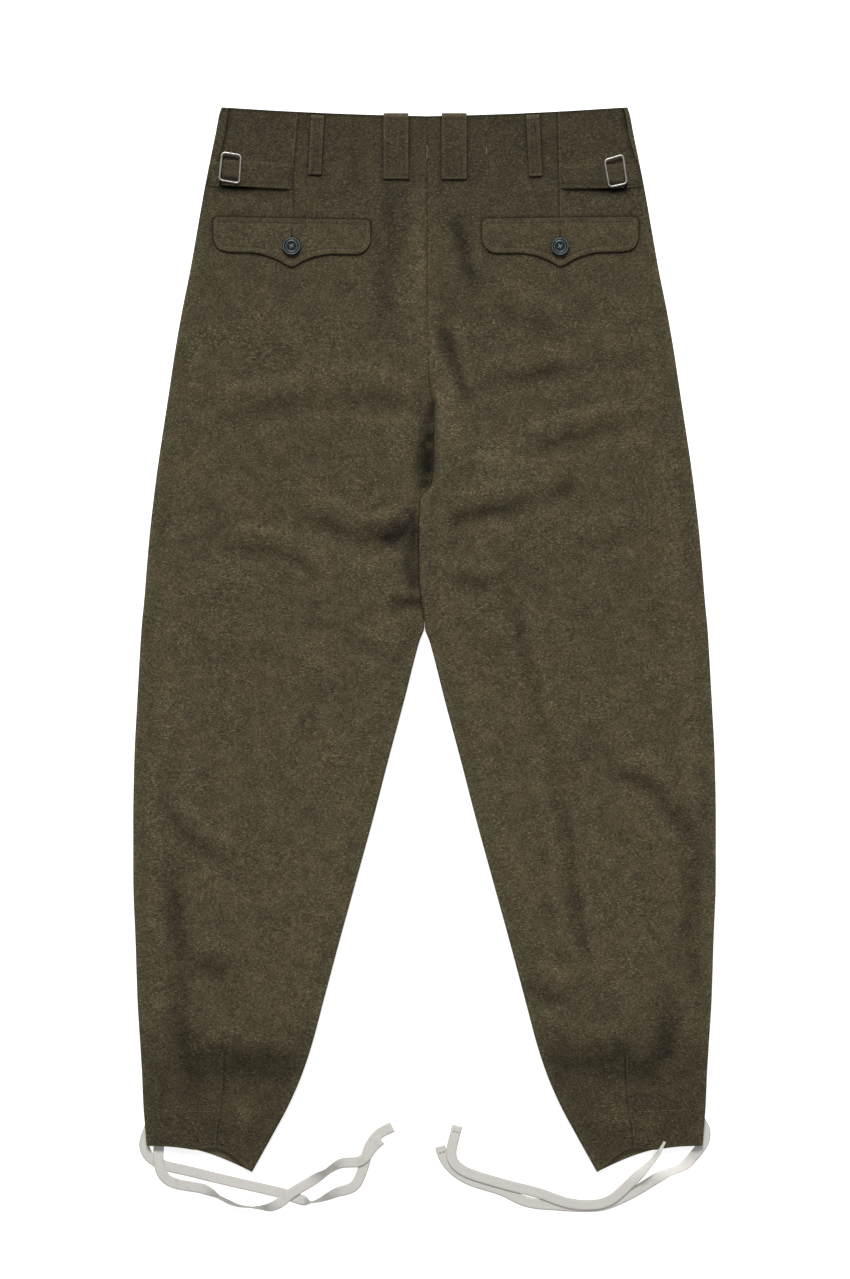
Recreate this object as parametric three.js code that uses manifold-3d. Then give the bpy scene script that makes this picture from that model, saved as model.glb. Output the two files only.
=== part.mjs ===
// Paratrooper trousers in melange wool, laid flat on a surface with their back side up.
// Millimetres. X runs across, +Y points to the waist, +Z points up and z = 0 is the surface.
// Each leg is a flattened tube of cloth, cut along its side seam and its inner seam or seat
// seam into a front panel, which lies underneath, and a back panel, which lies on top.

import * as THREE from 'three';
import Module from 'manifold-3d';
import { mergeVertices } from 'three/addons/utils/BufferGeometryUtils.js';

const wasm = await Module();
wasm.setup();

// Driving dimensions.
const cloth = { thickness: 1.8, layerGap: 2.0, seamGap: 0.3 };
const waist = { sideY: 532, centreY: 523, bow: -1.3 };
const hem = { outerY: -505, innerY: -532, bow: 8, bowStartsAt: 0.9 };
const hemStep = { depth: 9, centre: 0.72, reach: 0.3, startsAt: 0.94 };
const tapeRoom = { lift: 1, startY: -452, fullY: -476, fullWidth: 34, endWidth: 56 };
const foldFade = 22;
const columns = { roll: 3, sideRoll: 5, back: 10, front: 4 };
const flap = { width: 157, cloth: 1.8, topCorner: 2.5, rows: 4, columns: 28 };
const strip = { cloth: 1.8, rows: 8 };
const buckle = { width: 18.6, height: 28, wire: 2.2, corner: 4, bevel: 0.73, cornerSteps: 4 };
const button = { radius: 8.8, height: 3.2, sides: 24, holeRadius: 0.9, holeOffset: 1.9, holeSides: 8 };
const tape = { width: 10.5, thickness: 0.6, edge: 0.15, steps: 40 };
const flyLap = { cloth: 1.2, top: 512, bottom: 335, left: -14, right: 26, rows: 10, columns: 3 };

// Length of each quarter roll at a folded edge, at the middle of the cloth.
const halfCloth = cloth.thickness / 2;
const rollRadius = (cloth.thickness + cloth.layerGap) / 2;
const rollHeight = halfCloth + rollRadius;
const quarterRoll = Math.PI * rollRadius / 2;
const backHeight = 2 * rollHeight;

// The cut, one row for each section. outside and inside are the distances of a leg's two edges
// from the middle line, seat is how far the seat seam strays to the right, cleft is how far the
// cloth turns down at that seam (1 is a full quarter roll), sideLeft and sideRight say how far
// each side seam lies past the edge on the back, and puff is the loose height of the back cloth.
const cut = [
  { y: 532, outside: 203.5, inside: 0, seat: 2.5, cleft: 0, sideLeft: 8, sideRight: 4.5, puff: 0 },
  { y: 526, outside: 205.5, inside: 0, seat: 2.5, cleft: 0, sideLeft: 9, sideRight: 5, puff: 0 },
  { y: 510, outside: 208.5, inside: 0, seat: 2.5, cleft: 0, sideLeft: 10, sideRight: 5.5, puff: 0 },
  { y: 487, outside: 213.2, inside: 0, seat: 2.5, cleft: 0, sideLeft: 9, sideRight: 4, puff: 0 },
  { y: 450, outside: 220.5, inside: 0, seat: 2.6, cleft: 0, sideLeft: 1, sideRight: 0, puff: 0 },
  { y: 410, outside: 227.5, inside: 0, seat: 2.8, cleft: 0, sideLeft: 0, sideRight: 0, puff: 0 },
  { y: 370, outside: 234.5, inside: 0, seat: 3, cleft: 0, sideLeft: 0, sideRight: 0, puff: 0 },
  { y: 330, outside: 242.5, inside: 0, seat: 3.4, cleft: 0, sideLeft: 0, sideRight: 0, puff: 0.8 },
  { y: 290, outside: 249.5, inside: 0, seat: 4, cleft: 0, sideLeft: 0, sideRight: 0, puff: 1.4 },
  { y: 252, outside: 255.2, inside: 0, seat: 5, cleft: 0.1, sideLeft: 0, sideRight: 0, puff: 1.8 },
  { y: 232, outside: 258.2, inside: 0, seat: 9.8, cleft: 0.15, sideLeft: 0, sideRight: 0, puff: 1.8 },
  { y: 182, outside: 265.8, inside: 0, seat: 9.5, cleft: 0.2, sideLeft: 0, sideRight: 0, puff: 1.8 },
  { y: 157, outside: 269.2, inside: 0, seat: 7.5, cleft: 0.25, sideLeft: 0, sideRight: 0, puff: 1.8 },
  { y: 140, outside: 271.3, inside: 0, seat: -4.6, cleft: 0.3, sideLeft: 0, sideRight: 0, puff: 1.8 },
  { y: 108, outside: 274.9, inside: 0, seat: -5.8, cleft: 0.45, sideLeft: 0, sideRight: 0, puff: 1.8 },
  { y: 73, outside: 278, inside: 0, seat: -5.8, cleft: 0.65, sideLeft: 0, sideRight: 0, puff: 1.8 },
  { y: 40, outside: 280.6, inside: 0, seat: -3.5, cleft: 0.9, sideLeft: 0, sideRight: 0, puff: 1.8 },
  { y: 13, outside: 283.2, inside: 0, seat: 0, cleft: 1, sideLeft: 0, sideRight: 0, puff: 1.8 },
  { y: 0, outside: 284.1, inside: 4.5, seat: 0, cleft: 1, sideLeft: 0, sideRight: 0, puff: 1.8 },
  { y: -60, outside: 287.5, inside: 20, seat: 0, cleft: 1, sideLeft: 0, sideRight: 0, puff: 1.7 },
  { y: -120, outside: 290.5, inside: 36, seat: 0, cleft: 1, sideLeft: 0, sideRight: 0, puff: 1.6 },
  { y: -180, outside: 291.6, inside: 51.5, seat: 0, cleft: 1, sideLeft: 0, sideRight: 0, puff: 1.6 },
  { y: -240, outside: 291.5, inside: 68, seat: 0, cleft: 1, sideLeft: 0, sideRight: 0, puff: 1.5 },
  { y: -300, outside: 289.3, inside: 84.5, seat: 0, cleft: 1, sideLeft: 0, sideRight: 0, puff: 1.5 },
  { y: -360, outside: 287.3, inside: 100.5, seat: 0, cleft: 1, sideLeft: 0, sideRight: 0, puff: 1.4 },
  { y: -405, outside: 284.5, inside: 112.5, seat: 0, cleft: 1, sideLeft: 0, sideRight: 0, puff: 1.2 },
  { y: -435, outside: 282.7, inside: 122.5, seat: 0, cleft: 1, sideLeft: 0, sideRight: 0, puff: 0.9 },
  { y: -465, outside: 281.4, inside: 135.5, seat: 0, cleft: 1, sideLeft: 0, sideRight: 0, puff: 0.5 },
  { y: -495, outside: 279, inside: 151.5, seat: 0, cleft: 1, sideLeft: 0, sideRight: 0, puff: 0.2 },
  { y: -532, outside: 276.5, inside: 172, seat: 0, cleft: 1, sideLeft: 0, sideRight: 0, puff: 0 },
];
const longestSection = 50;

// The largest folds of the back. turn is the angle of a fold's run from +X in degrees, reach is
// half its run, spread half its breadth, and rise its height, below zero for a trough.
const folds = [
  { x: -22, y: 117, turn: 31, reach: 34, spread: 17, rise: -2.4 },
  { x: -68, y: 117, turn: -16, reach: 56, spread: 19, rise: -2.4 },
  { x: -48, y: 142, turn: 4, reach: 66, spread: 17, rise: 1.6 },
  { x: -121, y: 88, turn: -41, reach: 34, spread: 17, rise: -1.8 },
  { x: -150, y: 108, turn: -4, reach: 58, spread: 20, rise: 1.4 },
  { x: -24, y: 38, turn: 3, reach: 40, spread: 17, rise: -1.9 },
  { x: -112, y: 246, turn: 0, reach: 130, spread: 24, rise: -1.4 },
  { x: -2, y: 190, turn: 92, reach: 58, spread: 24, rise: -3.2, only: 'left' },
  { x: 39, y: 262, turn: -64, reach: 50, spread: 17, rise: -2.2 },
  { x: 60, y: 262, turn: -58, reach: 46, spread: 17, rise: 1.4 },
  { x: 68, y: 234, turn: 5, reach: 38, spread: 16, rise: -1.9 },
  { x: 155, y: 268, turn: 3, reach: 96, spread: 20, rise: -1.7 },
  { x: 160, y: 240, turn: 8, reach: 92, spread: 18, rise: 1.2 },
  { x: 168, y: 207, turn: 12, reach: 86, spread: 20, rise: -1.8 },
  { x: 84, y: 138, turn: 13, reach: 90, spread: 19, rise: -2.2 },
  { x: 92, y: 165, turn: 12, reach: 84, spread: 18, rise: 1.5 },
  { x: 54, y: 352, turn: -50, reach: 40, spread: 24, rise: -0.7 },
  { x: 112, y: -60, turn: -76, reach: 130, spread: 18, rise: -1.5 },
  { x: 140, y: -210, turn: -81, reach: 110, spread: 18, rise: -1.5 },
  { x: 240, y: -150, turn: -32, reach: 44, spread: 18, rise: -1.5 },
  { x: 262, y: -280, turn: 82, reach: 96, spread: 16, rise: -1.5 },
  { x: 240, y: -378, turn: 62, reach: 48, spread: 18, rise: -1.9 },
  { x: 218, y: -355, turn: 64, reach: 60, spread: 20, rise: 1.6 },
  { x: 121, y: -308, turn: 14, reach: 36, spread: 17, rise: -1.6 },
  { x: 162, y: -413, turn: 2, reach: 46, spread: 18, rise: -1.5 },
  { x: -234, y: -255, turn: -72, reach: 96, spread: 18, rise: -1.8 },
  { x: -212, y: -262, turn: -74, reach: 84, spread: 18, rise: 1.3 },
  { x: -238, y: -373, turn: -70, reach: 42, spread: 16, rise: -1.6 },
  { x: -213, y: -419, turn: -40, reach: 44, spread: 20, rise: -1.4 },
  { x: -164, y: -400, turn: -10, reach: 46, spread: 18, rise: -1.5 },
  { x: -137, y: 0, turn: 90, reach: 95, spread: 16, rise: -0.9 },
];
const leastGap = 0.4;

// Lower edge of a pocket flap, from its inner end to its outer end.
const flapEdge = [
  { across: 0, depth: 24 },
  { across: 0.02, depth: 31 },
  { across: 0.07, depth: 35 },
  { across: 0.24, depth: 35.5 },
  { across: 0.36, depth: 40 },
  { across: 0.46, depth: 48.5 },
  { across: 0.5, depth: 49.5 },
  { across: 0.54, depth: 48.5 },
  { across: 0.64, depth: 40 },
  { across: 0.76, depth: 35.5 },
  { across: 0.93, depth: 34 },
  { across: 0.98, depth: 30.5 },
  { across: 1, depth: 23 },
];

// Section of a button from the middle of its foot, as shares of its radius and height.
const buttonProfile = [
  { out: 0, up: 0 },
  { out: 0.62, up: 0 },
  { out: 0.93, up: 0.3 },
  { out: 1, up: 0.62 },
  { out: 0.9, up: 1 },
  { out: 0.72, up: 0.86 },
  { out: 0.6, up: 0.6 },
  { out: 0, up: 0.6 },
];

// Pieces on the back panels, each by the corners of its middle line. end is its free or lower
// end, breadth its width, bow how high its middle stands off the cloth below.
const strips = [
  { name: 'belt_loop_wide_left', x: -28.5, y: 526.3, endX: -28.5, endY: 461.5, breadth: 23.5, bow: 0.9 },
  { name: 'belt_loop_wide_right', x: 29.7, y: 526.4, endX: 29.7, endY: 461.3, breadth: 23.5, bow: 0.9 },
  { name: 'belt_loop_narrow_left', x: -106.8, y: 525.2, endX: -109.6, endY: 466, breadth: 11.5, bow: 0.9 },
  { name: 'belt_loop_narrow_right', x: 108, y: 525.6, endX: 111.2, endY: 464.3, breadth: 11.5, bow: 0.9 },
  { name: 'waist_strap_left', x: -132.5, y: 463.4, endX: -196, endY: 467.6, breadth: 24.4, bow: 0 },
  { name: 'waist_strap_right', x: 135.5, y: 463.2, endX: 194.5, endY: 463.8, breadth: 22.6, bow: 0 },
  { name: 'buckle_tab_left', x: -198.4, y: 467.4, endX: -212.2, endY: 466, breadth: 24, bow: 0 },
  { name: 'buckle_tab_right', x: 194.9, y: 463.8, endX: 214, endY: 464, breadth: 22.6, bow: 0 },
];
const buckles = [
  { name: 'buckle_left', x: -194, y: 471.4, turn: -8 },
  { name: 'buckle_right', x: 191.3, y: 467.5, turn: 9.5 },
];
const flaps = [
  { name: 'pocket_flap_left', innerX: -53.9, outerX: -211.1, y: 420, outerY: 423 },
  { name: 'pocket_flap_right', innerX: 57.5, outerX: 213.9, y: 422, outerY: 423.6 },
];
const buttons = [
  { name: 'pocket_button_left', x: -132.8, y: 393.1 },
  { name: 'pocket_button_right', x: 135.3, y: 392.9 },
];

// Routes of the four free ends of the hem tapes, chosen by hand. lean turns the tape on its
// edge in degrees, lift is the height of its lower edge, and width is left out where it is full.
const tapes = [
  { name: 'hem_tape_left_outer', route: [
    { x: -274.5, y: -484, lean: 0, lift: 0.05 },
    { x: -276.3, y: -490, lean: 0, lift: 0.05 },
    { x: -279, y: -497, lean: 0, lift: 0.05 },
    { x: -280.7, y: -504.5, lean: 0, lift: 0.05 },
    { x: -278.4, y: -513.5, lean: 0, lift: 0.05 },
    { x: -272, y: -520.5, lean: 0, lift: 0.05 },
    { x: -260.8, y: -526, lean: 0, lift: 0.05 },
    { x: -237.5, y: -531.5, lean: 0, lift: 0.05 },
    { x: -213.5, y: -537.5, lean: 0, lift: 0.1 },
    { x: -181.5, y: -545, lean: 0, lift: 0.2 },
    { x: -159.5, y: -550, lean: 0, lift: 0.1 },
    { x: -138.9, y: -555, lean: 0, lift: 0.05 },
    { x: -129, y: -558.8, lean: 0, lift: 0.05 },
    { x: -121.8, y: -560.9, lean: 5, lift: 0.05 },
    { x: -112.8, y: -562, lean: 68, lift: 0.05 },
    { x: -103.9, y: -559.7, lean: 55, lift: 0.05 },
    { x: -96.7, y: -556.6, lean: 35, lift: 0.05 },
    { x: -87.7, y: -552.8, lean: 15, lift: 0.05 },
    { x: -78.7, y: -550.6, lean: 0, lift: 0.05 },
    { x: -72.6, y: -548.3, lean: 0, lift: 0.05 },
    { x: -68.4, y: -544.6, lean: 0, lift: 0.05 },
    { x: -65.6, y: -539.6, lean: 0, lift: 0.05 },
    { x: -62.5, y: -532, lean: 0, lift: 0.05 },
    { x: -59.9, y: -524, lean: 0, lift: 0.05 },
    { x: -57.6, y: -514, lean: 0, lift: 0.05 },
    { x: -52.7, y: -503, lean: 0, lift: 0.05 },
    { x: -44.5, y: -494, lean: 0, lift: 0.05 },
    { x: -32.1, y: -487.5, lean: 0, lift: 0.05 },
  ] },
  { name: 'hem_tape_left_inner', route: [
    { x: -265.7, y: -495, lean: 0, lift: 0.05 },
    { x: -266, y: -507, lean: 0, lift: 0.1 },
    { x: -266.5, y: -516, lean: 0, lift: 0.9 },
    { x: -265.7, y: -525, lean: 0, lift: 1 },
    { x: -262.8, y: -534, lean: 0, lift: 0.9 },
    { x: -256.5, y: -541, lean: 0, lift: 0.4 },
    { x: -247.5, y: -544.8, lean: 0, lift: 0.05 },
    { x: -235.7, y: -547, lean: 0, lift: 0.05 },
    { x: -222.5, y: -549.3, lean: 5, lift: 0.05 },
    { x: -213.5, y: -552.6, lean: 30, lift: 0.05 },
    { x: -204.5, y: -557.4, lean: 58, lift: 0.05 },
    { x: -195.5, y: -562, lean: 55, lift: 0.05 },
    { x: -186.5, y: -565.4, lean: 62, lift: 0.05 },
    { x: -174.5, y: -567, lean: 70, lift: 0.05 },
    { x: -163.9, y: -567.6, lean: 55, lift: 0.05 },
    { x: -155, y: -567.4, lean: 25, lift: 0.2 },
    { x: -148, y: -565, lean: 8, lift: 0.9 },
    { x: -141.5, y: -560.8, lean: 0, lift: 1 },
    { x: -135.5, y: -555.6, lean: 0, lift: 1 },
    { x: -125.5, y: -549, lean: 0, lift: 1.3 },
    { x: -114.5, y: -542.7, lean: 0, lift: 0.5 },
    { x: -105.7, y: -537, lean: 20, lift: 0.05 },
    { x: -97.5, y: -531.8, lean: 42, lift: 0.05 },
    { x: -89.5, y: -526.5, lean: 30, lift: 0.1 },
    { x: -82.5, y: -523.6, lean: 10, lift: 0.4 },
    { x: -74.5, y: -523, lean: 0, lift: 0.9 },
    { x: -66, y: -522.3, lean: 0, lift: 1 },
    { x: -59.8, y: -518.3, lean: 0, lift: 1 },
    { x: -55, y: -512, lean: 0, lift: 1 },
    { x: -50, y: -505.8, lean: 0, lift: 1 },
    { x: -43.5, y: -500.3, lean: 0, lift: 1 },
  ] },
  { name: 'hem_tape_right_inner', route: [
    { x: 240.3, y: -501.6, lean: 0, lift: 6.3, width: 2.6 },
    { x: 238.2, y: -505.2, lean: 0, lift: 6.4, width: 3 },
    { x: 235.8, y: -509.8, lean: 20, lift: 6.2, width: 4 },
    { x: 232.4, y: -515.2, lean: 50, lift: 2.8, width: 6.2 },
    { x: 228, y: -521, lean: 58, lift: 0.5, width: 8.4 },
    { x: 219, y: -530.6, lean: 42, lift: 0.1, width: 10 },
    { x: 210.1, y: -539.5, lean: 14, lift: 0.6 },
    { x: 201.1, y: -548.5, lean: 0, lift: 1 },
    { x: 192.2, y: -556.6, lean: 0, lift: 1 },
    { x: 184.5, y: -561.6, lean: 0, lift: 1 },
    { x: 175.5, y: -564.6, lean: 0, lift: 1 },
    { x: 165.5, y: -565.6, lean: 0, lift: 1 },
    { x: 155.5, y: -565.4, lean: 0, lift: 1 },
    { x: 143.5, y: -563.6, lean: 0, lift: 1 },
    { x: 130.5, y: -559.6, lean: 0, lift: 1 },
    { x: 121.5, y: -556, lean: 0, lift: 1 },
    { x: 111.5, y: -552.9, lean: 0, lift: 1 },
    { x: 101.5, y: -550.3, lean: 0, lift: 1 },
    { x: 92, y: -548, lean: 0, lift: 1 },
    { x: 83.5, y: -545.8, lean: 0, lift: 1 },
    { x: 73.5, y: -543, lean: 0, lift: 1 },
    { x: 61, y: -539.4, lean: 0, lift: 1 },
    { x: 48.5, y: -535.4, lean: 0, lift: 1 },
    { x: 38.5, y: -531, lean: 0, lift: 1 },
    { x: 31.2, y: -525.2, lean: 0, lift: 1 },
    { x: 27.5, y: -518.4, lean: 0, lift: 1 },
    { x: 27, y: -510.4, lean: 0, lift: 1 },
    { x: 28.9, y: -501.5, lean: 0, lift: 0.9 },
    { x: 32.9, y: -486.2, lean: 0, lift: 0.3 },
  ] },
  { name: 'hem_tape_right_outer', route: [
    { x: 272.3, y: -477, lean: 0, lift: 0.05 },
    { x: 277, y: -482.5, lean: 0, lift: 0.05 },
    { x: 280.5, y: -489, lean: 0, lift: 0.05 },
    { x: 281.3, y: -496.5, lean: 0, lift: 0.05 },
    { x: 279, y: -504, lean: 0, lift: 0.05 },
    { x: 274.5, y: -511, lean: 0, lift: 0.05 },
    { x: 268.7, y: -517.8, lean: 0, lift: 0.05 },
    { x: 262.5, y: -523.8, lean: 25, lift: 0.05 },
    { x: 254.5, y: -528.6, lean: 52, lift: 0.05 },
    { x: 244.9, y: -532.2, lean: 52, lift: 0.05 },
    { x: 234.9, y: -537.4, lean: 22, lift: 0.05 },
    { x: 225, y: -543.8, lean: 0, lift: 0.05 },
    { x: 215, y: -550, lean: 0, lift: 0.05 },
    { x: 205.1, y: -555.5, lean: 0, lift: 0.05 },
    { x: 194.5, y: -560.5, lean: 0, lift: 0.05 },
    { x: 184.5, y: -564.5, lean: 0, lift: 0.05 },
    { x: 175.5, y: -566.8, lean: 0, lift: 0.05 },
    { x: 165.5, y: -567.6, lean: 0, lift: 0.05 },
    { x: 155.5, y: -567.6, lean: 0, lift: 0.05 },
    { x: 142.5, y: -567, lean: 0, lift: 0.05 },
    { x: 130.5, y: -566, lean: 0, lift: 0.05 },
    { x: 116.1, y: -565.2, lean: 0, lift: 0.05 },
    { x: 102, y: -562.6, lean: 0, lift: 0.05 },
    { x: 92, y: -558.6, lean: 0, lift: 0.05 },
    { x: 82.5, y: -553.6, lean: 0, lift: 0.05 },
    { x: 72.5, y: -549.6, lean: 0, lift: 0.05 },
    { x: 61.5, y: -546.4, lean: 0, lift: 0.05 },
    { x: 48.5, y: -542.2, lean: 0, lift: 0.05 },
    { x: 38.6, y: -537.6, lean: 0, lift: 0.05 },
    { x: 29.5, y: -531, lean: 0, lift: 0.05 },
    { x: 22.6, y: -523.5, lean: 0, lift: 0.05 },
    { x: 18, y: -515, lean: 0, lift: 0.05 },
    { x: 15.7, y: -506.8, lean: 0, lift: 0.05 },
  ] },
];

const materials = {
  wool: new THREE.MeshStandardMaterial({ color: 0x4b4533, roughness: 0.95, side: THREE.DoubleSide }),
  steel: new THREE.MeshStandardMaterial({ color: 0xb9b8b3, roughness: 0.32, metalness: 1 }),
  button: new THREE.MeshStandardMaterial({ color: 0x39464a, roughness: 0.45 }),
  tape: new THREE.MeshStandardMaterial({ color: 0xd2cec6, roughness: 0.9 }),
};

const trousers = new THREE.Group();

function smooth(t) {
  const c = THREE.MathUtils.clamp(t, 0, 1);
  return c * c * (3 - 2 * c);
}

// A hump of height 1 that ends smoothly at t = -1 and t = 1.
function hump(t) {
  return Math.abs(t) < 1 ? (1 - t * t) ** 2 : 0;
}

// A smooth line through a table's rows that never swings past a row's own value.
function lineThrough(rows, key, column) {
  const turned = rows[0][key] > rows[rows.length - 1][key];
  const sorted = turned ? [...rows].reverse() : rows;
  const at = sorted.map((row) => row[key]);
  const value = sorted.map((row) => row[column]);
  const rate = (i) => (value[i + 1] - value[i]) / (at[i + 1] - at[i]);
  const slope = at.map((_, i) => {
    if (i === 0) return rate(0);
    if (i === at.length - 1) return rate(i - 1);
    const product = rate(i - 1) * rate(i);
    return product > 0 ? 2 * product / (rate(i - 1) + rate(i)) : 0;
  });
  return (key_) => {
    const k = THREE.MathUtils.clamp(key_, at[0], at[at.length - 1]);
    let i = 0;
    while (i < at.length - 2 && k > at[i + 1]) i += 1;
    const span = at[i + 1] - at[i];
    const t = (k - at[i]) / span;
    return value[i] * (1 + 2 * t) * (1 - t) ** 2 + slope[i] * span * t * (1 - t) ** 2
      + value[i + 1] * t * t * (3 - 2 * t) + slope[i + 1] * span * t * t * (t - 1);
  };
}

const cutLine = {};
for (const column of ['outside', 'inside', 'seat', 'cleft', 'sideLeft', 'sideRight', 'puff']) {
  cutLine[column] = lineThrough(cut, 'y', column);
}

// Height of the folds at a place on the back, above the plain lie of the cloth.
function foldHeight(x, y, side) {
  let height = cutLine.puff(y);
  for (const fold of folds) {
    if (fold.only && fold.only !== side) continue;
    const turn = THREE.MathUtils.degToRad(fold.turn);
    const along = (x - fold.x) * Math.cos(turn) + (y - fold.y) * Math.sin(turn);
    const across = (y - fold.y) * Math.cos(turn) - (x - fold.x) * Math.sin(turn);
    height += fold.rise * hump(along / fold.reach) * hump(across / fold.spread);
  }
  return Math.max(height, leastGap - cloth.layerGap);
}

// One section across a leg. down runs from 0 at the waist to 1 at the hem.
function section(side, face, down) {
  const sign = side === 'left' ? -1 : 1;
  const outerY = THREE.MathUtils.lerp(waist.sideY, hem.outerY, down);
  const innerY = THREE.MathUtils.lerp(waist.centreY, hem.innerY, down);
  const stray = face === 'back' ? cutLine.seat(innerY) : 0;
  const outer = new THREE.Vector2(sign * cutLine.outside(outerY), outerY);
  const inner = new THREE.Vector2(sign * cutLine.inside(innerY) + stray, innerY);
  const width = outer.distanceTo(inner);
  const innerTurn = cutLine.cleft(innerY) * (quarterRoll - cloth.seamGap / 2) / rollRadius;
  const innerEnd = cloth.seamGap / 2 + halfCloth * Math.sin(innerTurn);
  const flatEnd = innerEnd + rollRadius * Math.sin(innerTurn);
  const length = quarterRoll + (width - rollHeight - flatEnd) + rollRadius * innerTurn;
  const sideSeam = side === 'left' ? cutLine.sideLeft(outerY) : cutLine.sideRight(outerY);
  return { side, face, down, outer, inner, width, innerTurn, innerEnd, length, sideSeam };
}

// A point at the middle of the cloth. The way there is measured round the section, from the
// outermost edge: above zero up and over the back, below zero down and under the front.
function clothPoint(cutAt, way) {
  const { side, face, down, outer, inner, width, innerTurn, innerEnd, length } = cutAt;
  const onBack = way > 0 || (way === 0 && face === 'back');
  const far = Math.abs(way);
  const left = length - far;
  let inFromEdge = halfCloth + rollRadius + far - quarterRoll;
  let drop = 0;
  if (far < quarterRoll) {
    inFromEdge = halfCloth + rollRadius * (1 - Math.cos(far / rollRadius));
    drop = rollRadius * (1 - Math.sin(far / rollRadius));
  } else if (left < rollRadius * innerTurn) {
    const turn = innerTurn - left / rollRadius;
    inFromEdge = width - innerEnd - rollRadius * (Math.sin(innerTurn) - Math.sin(turn));
    drop = rollRadius * (1 - Math.cos(turn));
  }
  const across = inFromEdge / width;
  const bow = waist.bow * (1 - smooth(down / (1 - hem.bowStartsAt)))
    + hem.bow * smooth((down - hem.bowStartsAt) / (1 - hem.bowStartsAt));
  const point = new THREE.Vector3(
    THREE.MathUtils.lerp(outer.x, inner.x, across),
    THREE.MathUtils.lerp(outer.y, inner.y, across) + bow * Math.sin(Math.PI * across),
    halfCloth + drop,
  );
  if (onBack) {
    point.z = backHeight - point.z;
    point.y += hemStep.depth * hump((across - hemStep.centre) / hemStep.reach)
      * smooth((down - hemStep.startsAt) / (1 - hemStep.startsAt));
  }
  if (onBack) {
    const outerFade = smooth((inFromEdge - rollHeight) / foldFade);
    const innerFade = smooth((width - inFromEdge - rollHeight) / foldFade);
    const fade = outerFade * THREE.MathUtils.lerp(1, innerFade, smooth(cutLine.cleft(inner.y)));
    point.z += foldHeight(point.x, point.y, side) * fade;
  } else {
    const room = smooth((tapeRoom.startY - point.y) / (tapeRoom.startY - tapeRoom.fullY))
      * (1 - smooth((inFromEdge - tapeRoom.fullWidth) / (tapeRoom.endWidth - tapeRoom.fullWidth)));
    point.z += tapeRoom.lift * room * (1 - drop / rollRadius) ** 2;
  }
  return point;
}

// A closed wall between two grids of points that face each other.
function wall(upper, lower) {
  const last = upper.length - 1;
  const end = upper[0].length - 1;
  const positions = [...upper.flat(), ...lower.flat()].flatMap((p) => [p.x, p.y, p.z]);
  const at = (layer, i, j) => (layer * (last + 1) + i) * (end + 1) + j;
  const faces = [];
  const quad = (a, b, c, d) => faces.push(a, b, c, a, c, d);
  for (let i = 0; i < last; i += 1) {
    for (let j = 0; j < end; j += 1) {
      quad(at(0, i, j), at(0, i, j + 1), at(0, i + 1, j + 1), at(0, i + 1, j));
      quad(at(1, i, j), at(1, i + 1, j), at(1, i + 1, j + 1), at(1, i, j + 1));
    }
    quad(at(0, i, 0), at(0, i + 1, 0), at(1, i + 1, 0), at(1, i, 0));
    quad(at(0, i, end), at(1, i, end), at(1, i + 1, end), at(0, i + 1, end));
  }
  for (let j = 0; j < end; j += 1) {
    quad(at(0, 0, j), at(1, 0, j), at(1, 0, j + 1), at(0, 0, j + 1));
    quad(at(0, last, j), at(0, last, j + 1), at(1, last, j + 1), at(1, last, j));
  }
  return closedBody(positions, faces);
}

// A body from its points and triangles, turned the right way out.
function closedBody(positions, faces) {
  const corner = (i) => new THREE.Vector3().fromArray(positions, 3 * i);
  let volume = 0;
  for (let i = 0; i < faces.length; i += 3) {
    volume += corner(faces[i]).dot(corner(faces[i + 1]).cross(corner(faces[i + 2])));
  }
  if (volume < 0) faces.reverse();
  const geometry = new THREE.BufferGeometry();
  geometry.setAttribute('position', new THREE.Float32BufferAttribute(positions, 3));
  geometry.setIndex(faces);
  return geometry;
}

function addPiece(name, geometry, material) {
  geometry.computeVertexNormals();
  const piece = new THREE.Mesh(geometry, material);
  piece.name = name;
  trousers.add(piece);
  return piece;
}

// Where the sections lie: at every row of the cut, and between rows that are far apart.
function sectionPlaces() {
  const places = [];
  const height = waist.centreY - hem.innerY;
  const rows = [waist.centreY, ...cut.map((row) => row.y).filter((y) => y < waist.centreY)];
  rows.forEach((y, i) => {
    const before = i > 0 ? rows[i - 1] : y;
    const parts = Math.max(1, Math.ceil((before - y) / longestSection));
    for (let part = 1; part <= parts; part += 1) {
      places.push((waist.centreY - THREE.MathUtils.lerp(before, y, part / parts)) / height);
    }
  });
  return places;
}

// Places of the panel's columns round the section.
function columnWays(cutAt) {
  const { face, sideSeam, length } = cutAt;
  const steps = (count, from, to) => (
    Array.from({ length: count }, (_, i) => from + (to - from) * i / count));
  const half = cloth.seamGap / 2;
  const { roll, sideRoll } = columns;
  if (face === 'back') {
    const start = sideSeam + half;
    const flatStart = start + quarterRoll;
    const flatEnd = length - quarterRoll;
    const flat = steps(columns.back, flatStart, flatEnd);
    return [...steps(roll, start, flatStart), ...flat, ...steps(roll, flatEnd, length), length];
  }
  const start = sideSeam - half;
  const flatEnd = quarterRoll - length;
  const flat = steps(columns.front, -quarterRoll, flatEnd);
  return [...steps(sideRoll, start, -quarterRoll), ...flat, ...steps(roll, flatEnd, -length), -length];
}

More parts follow.
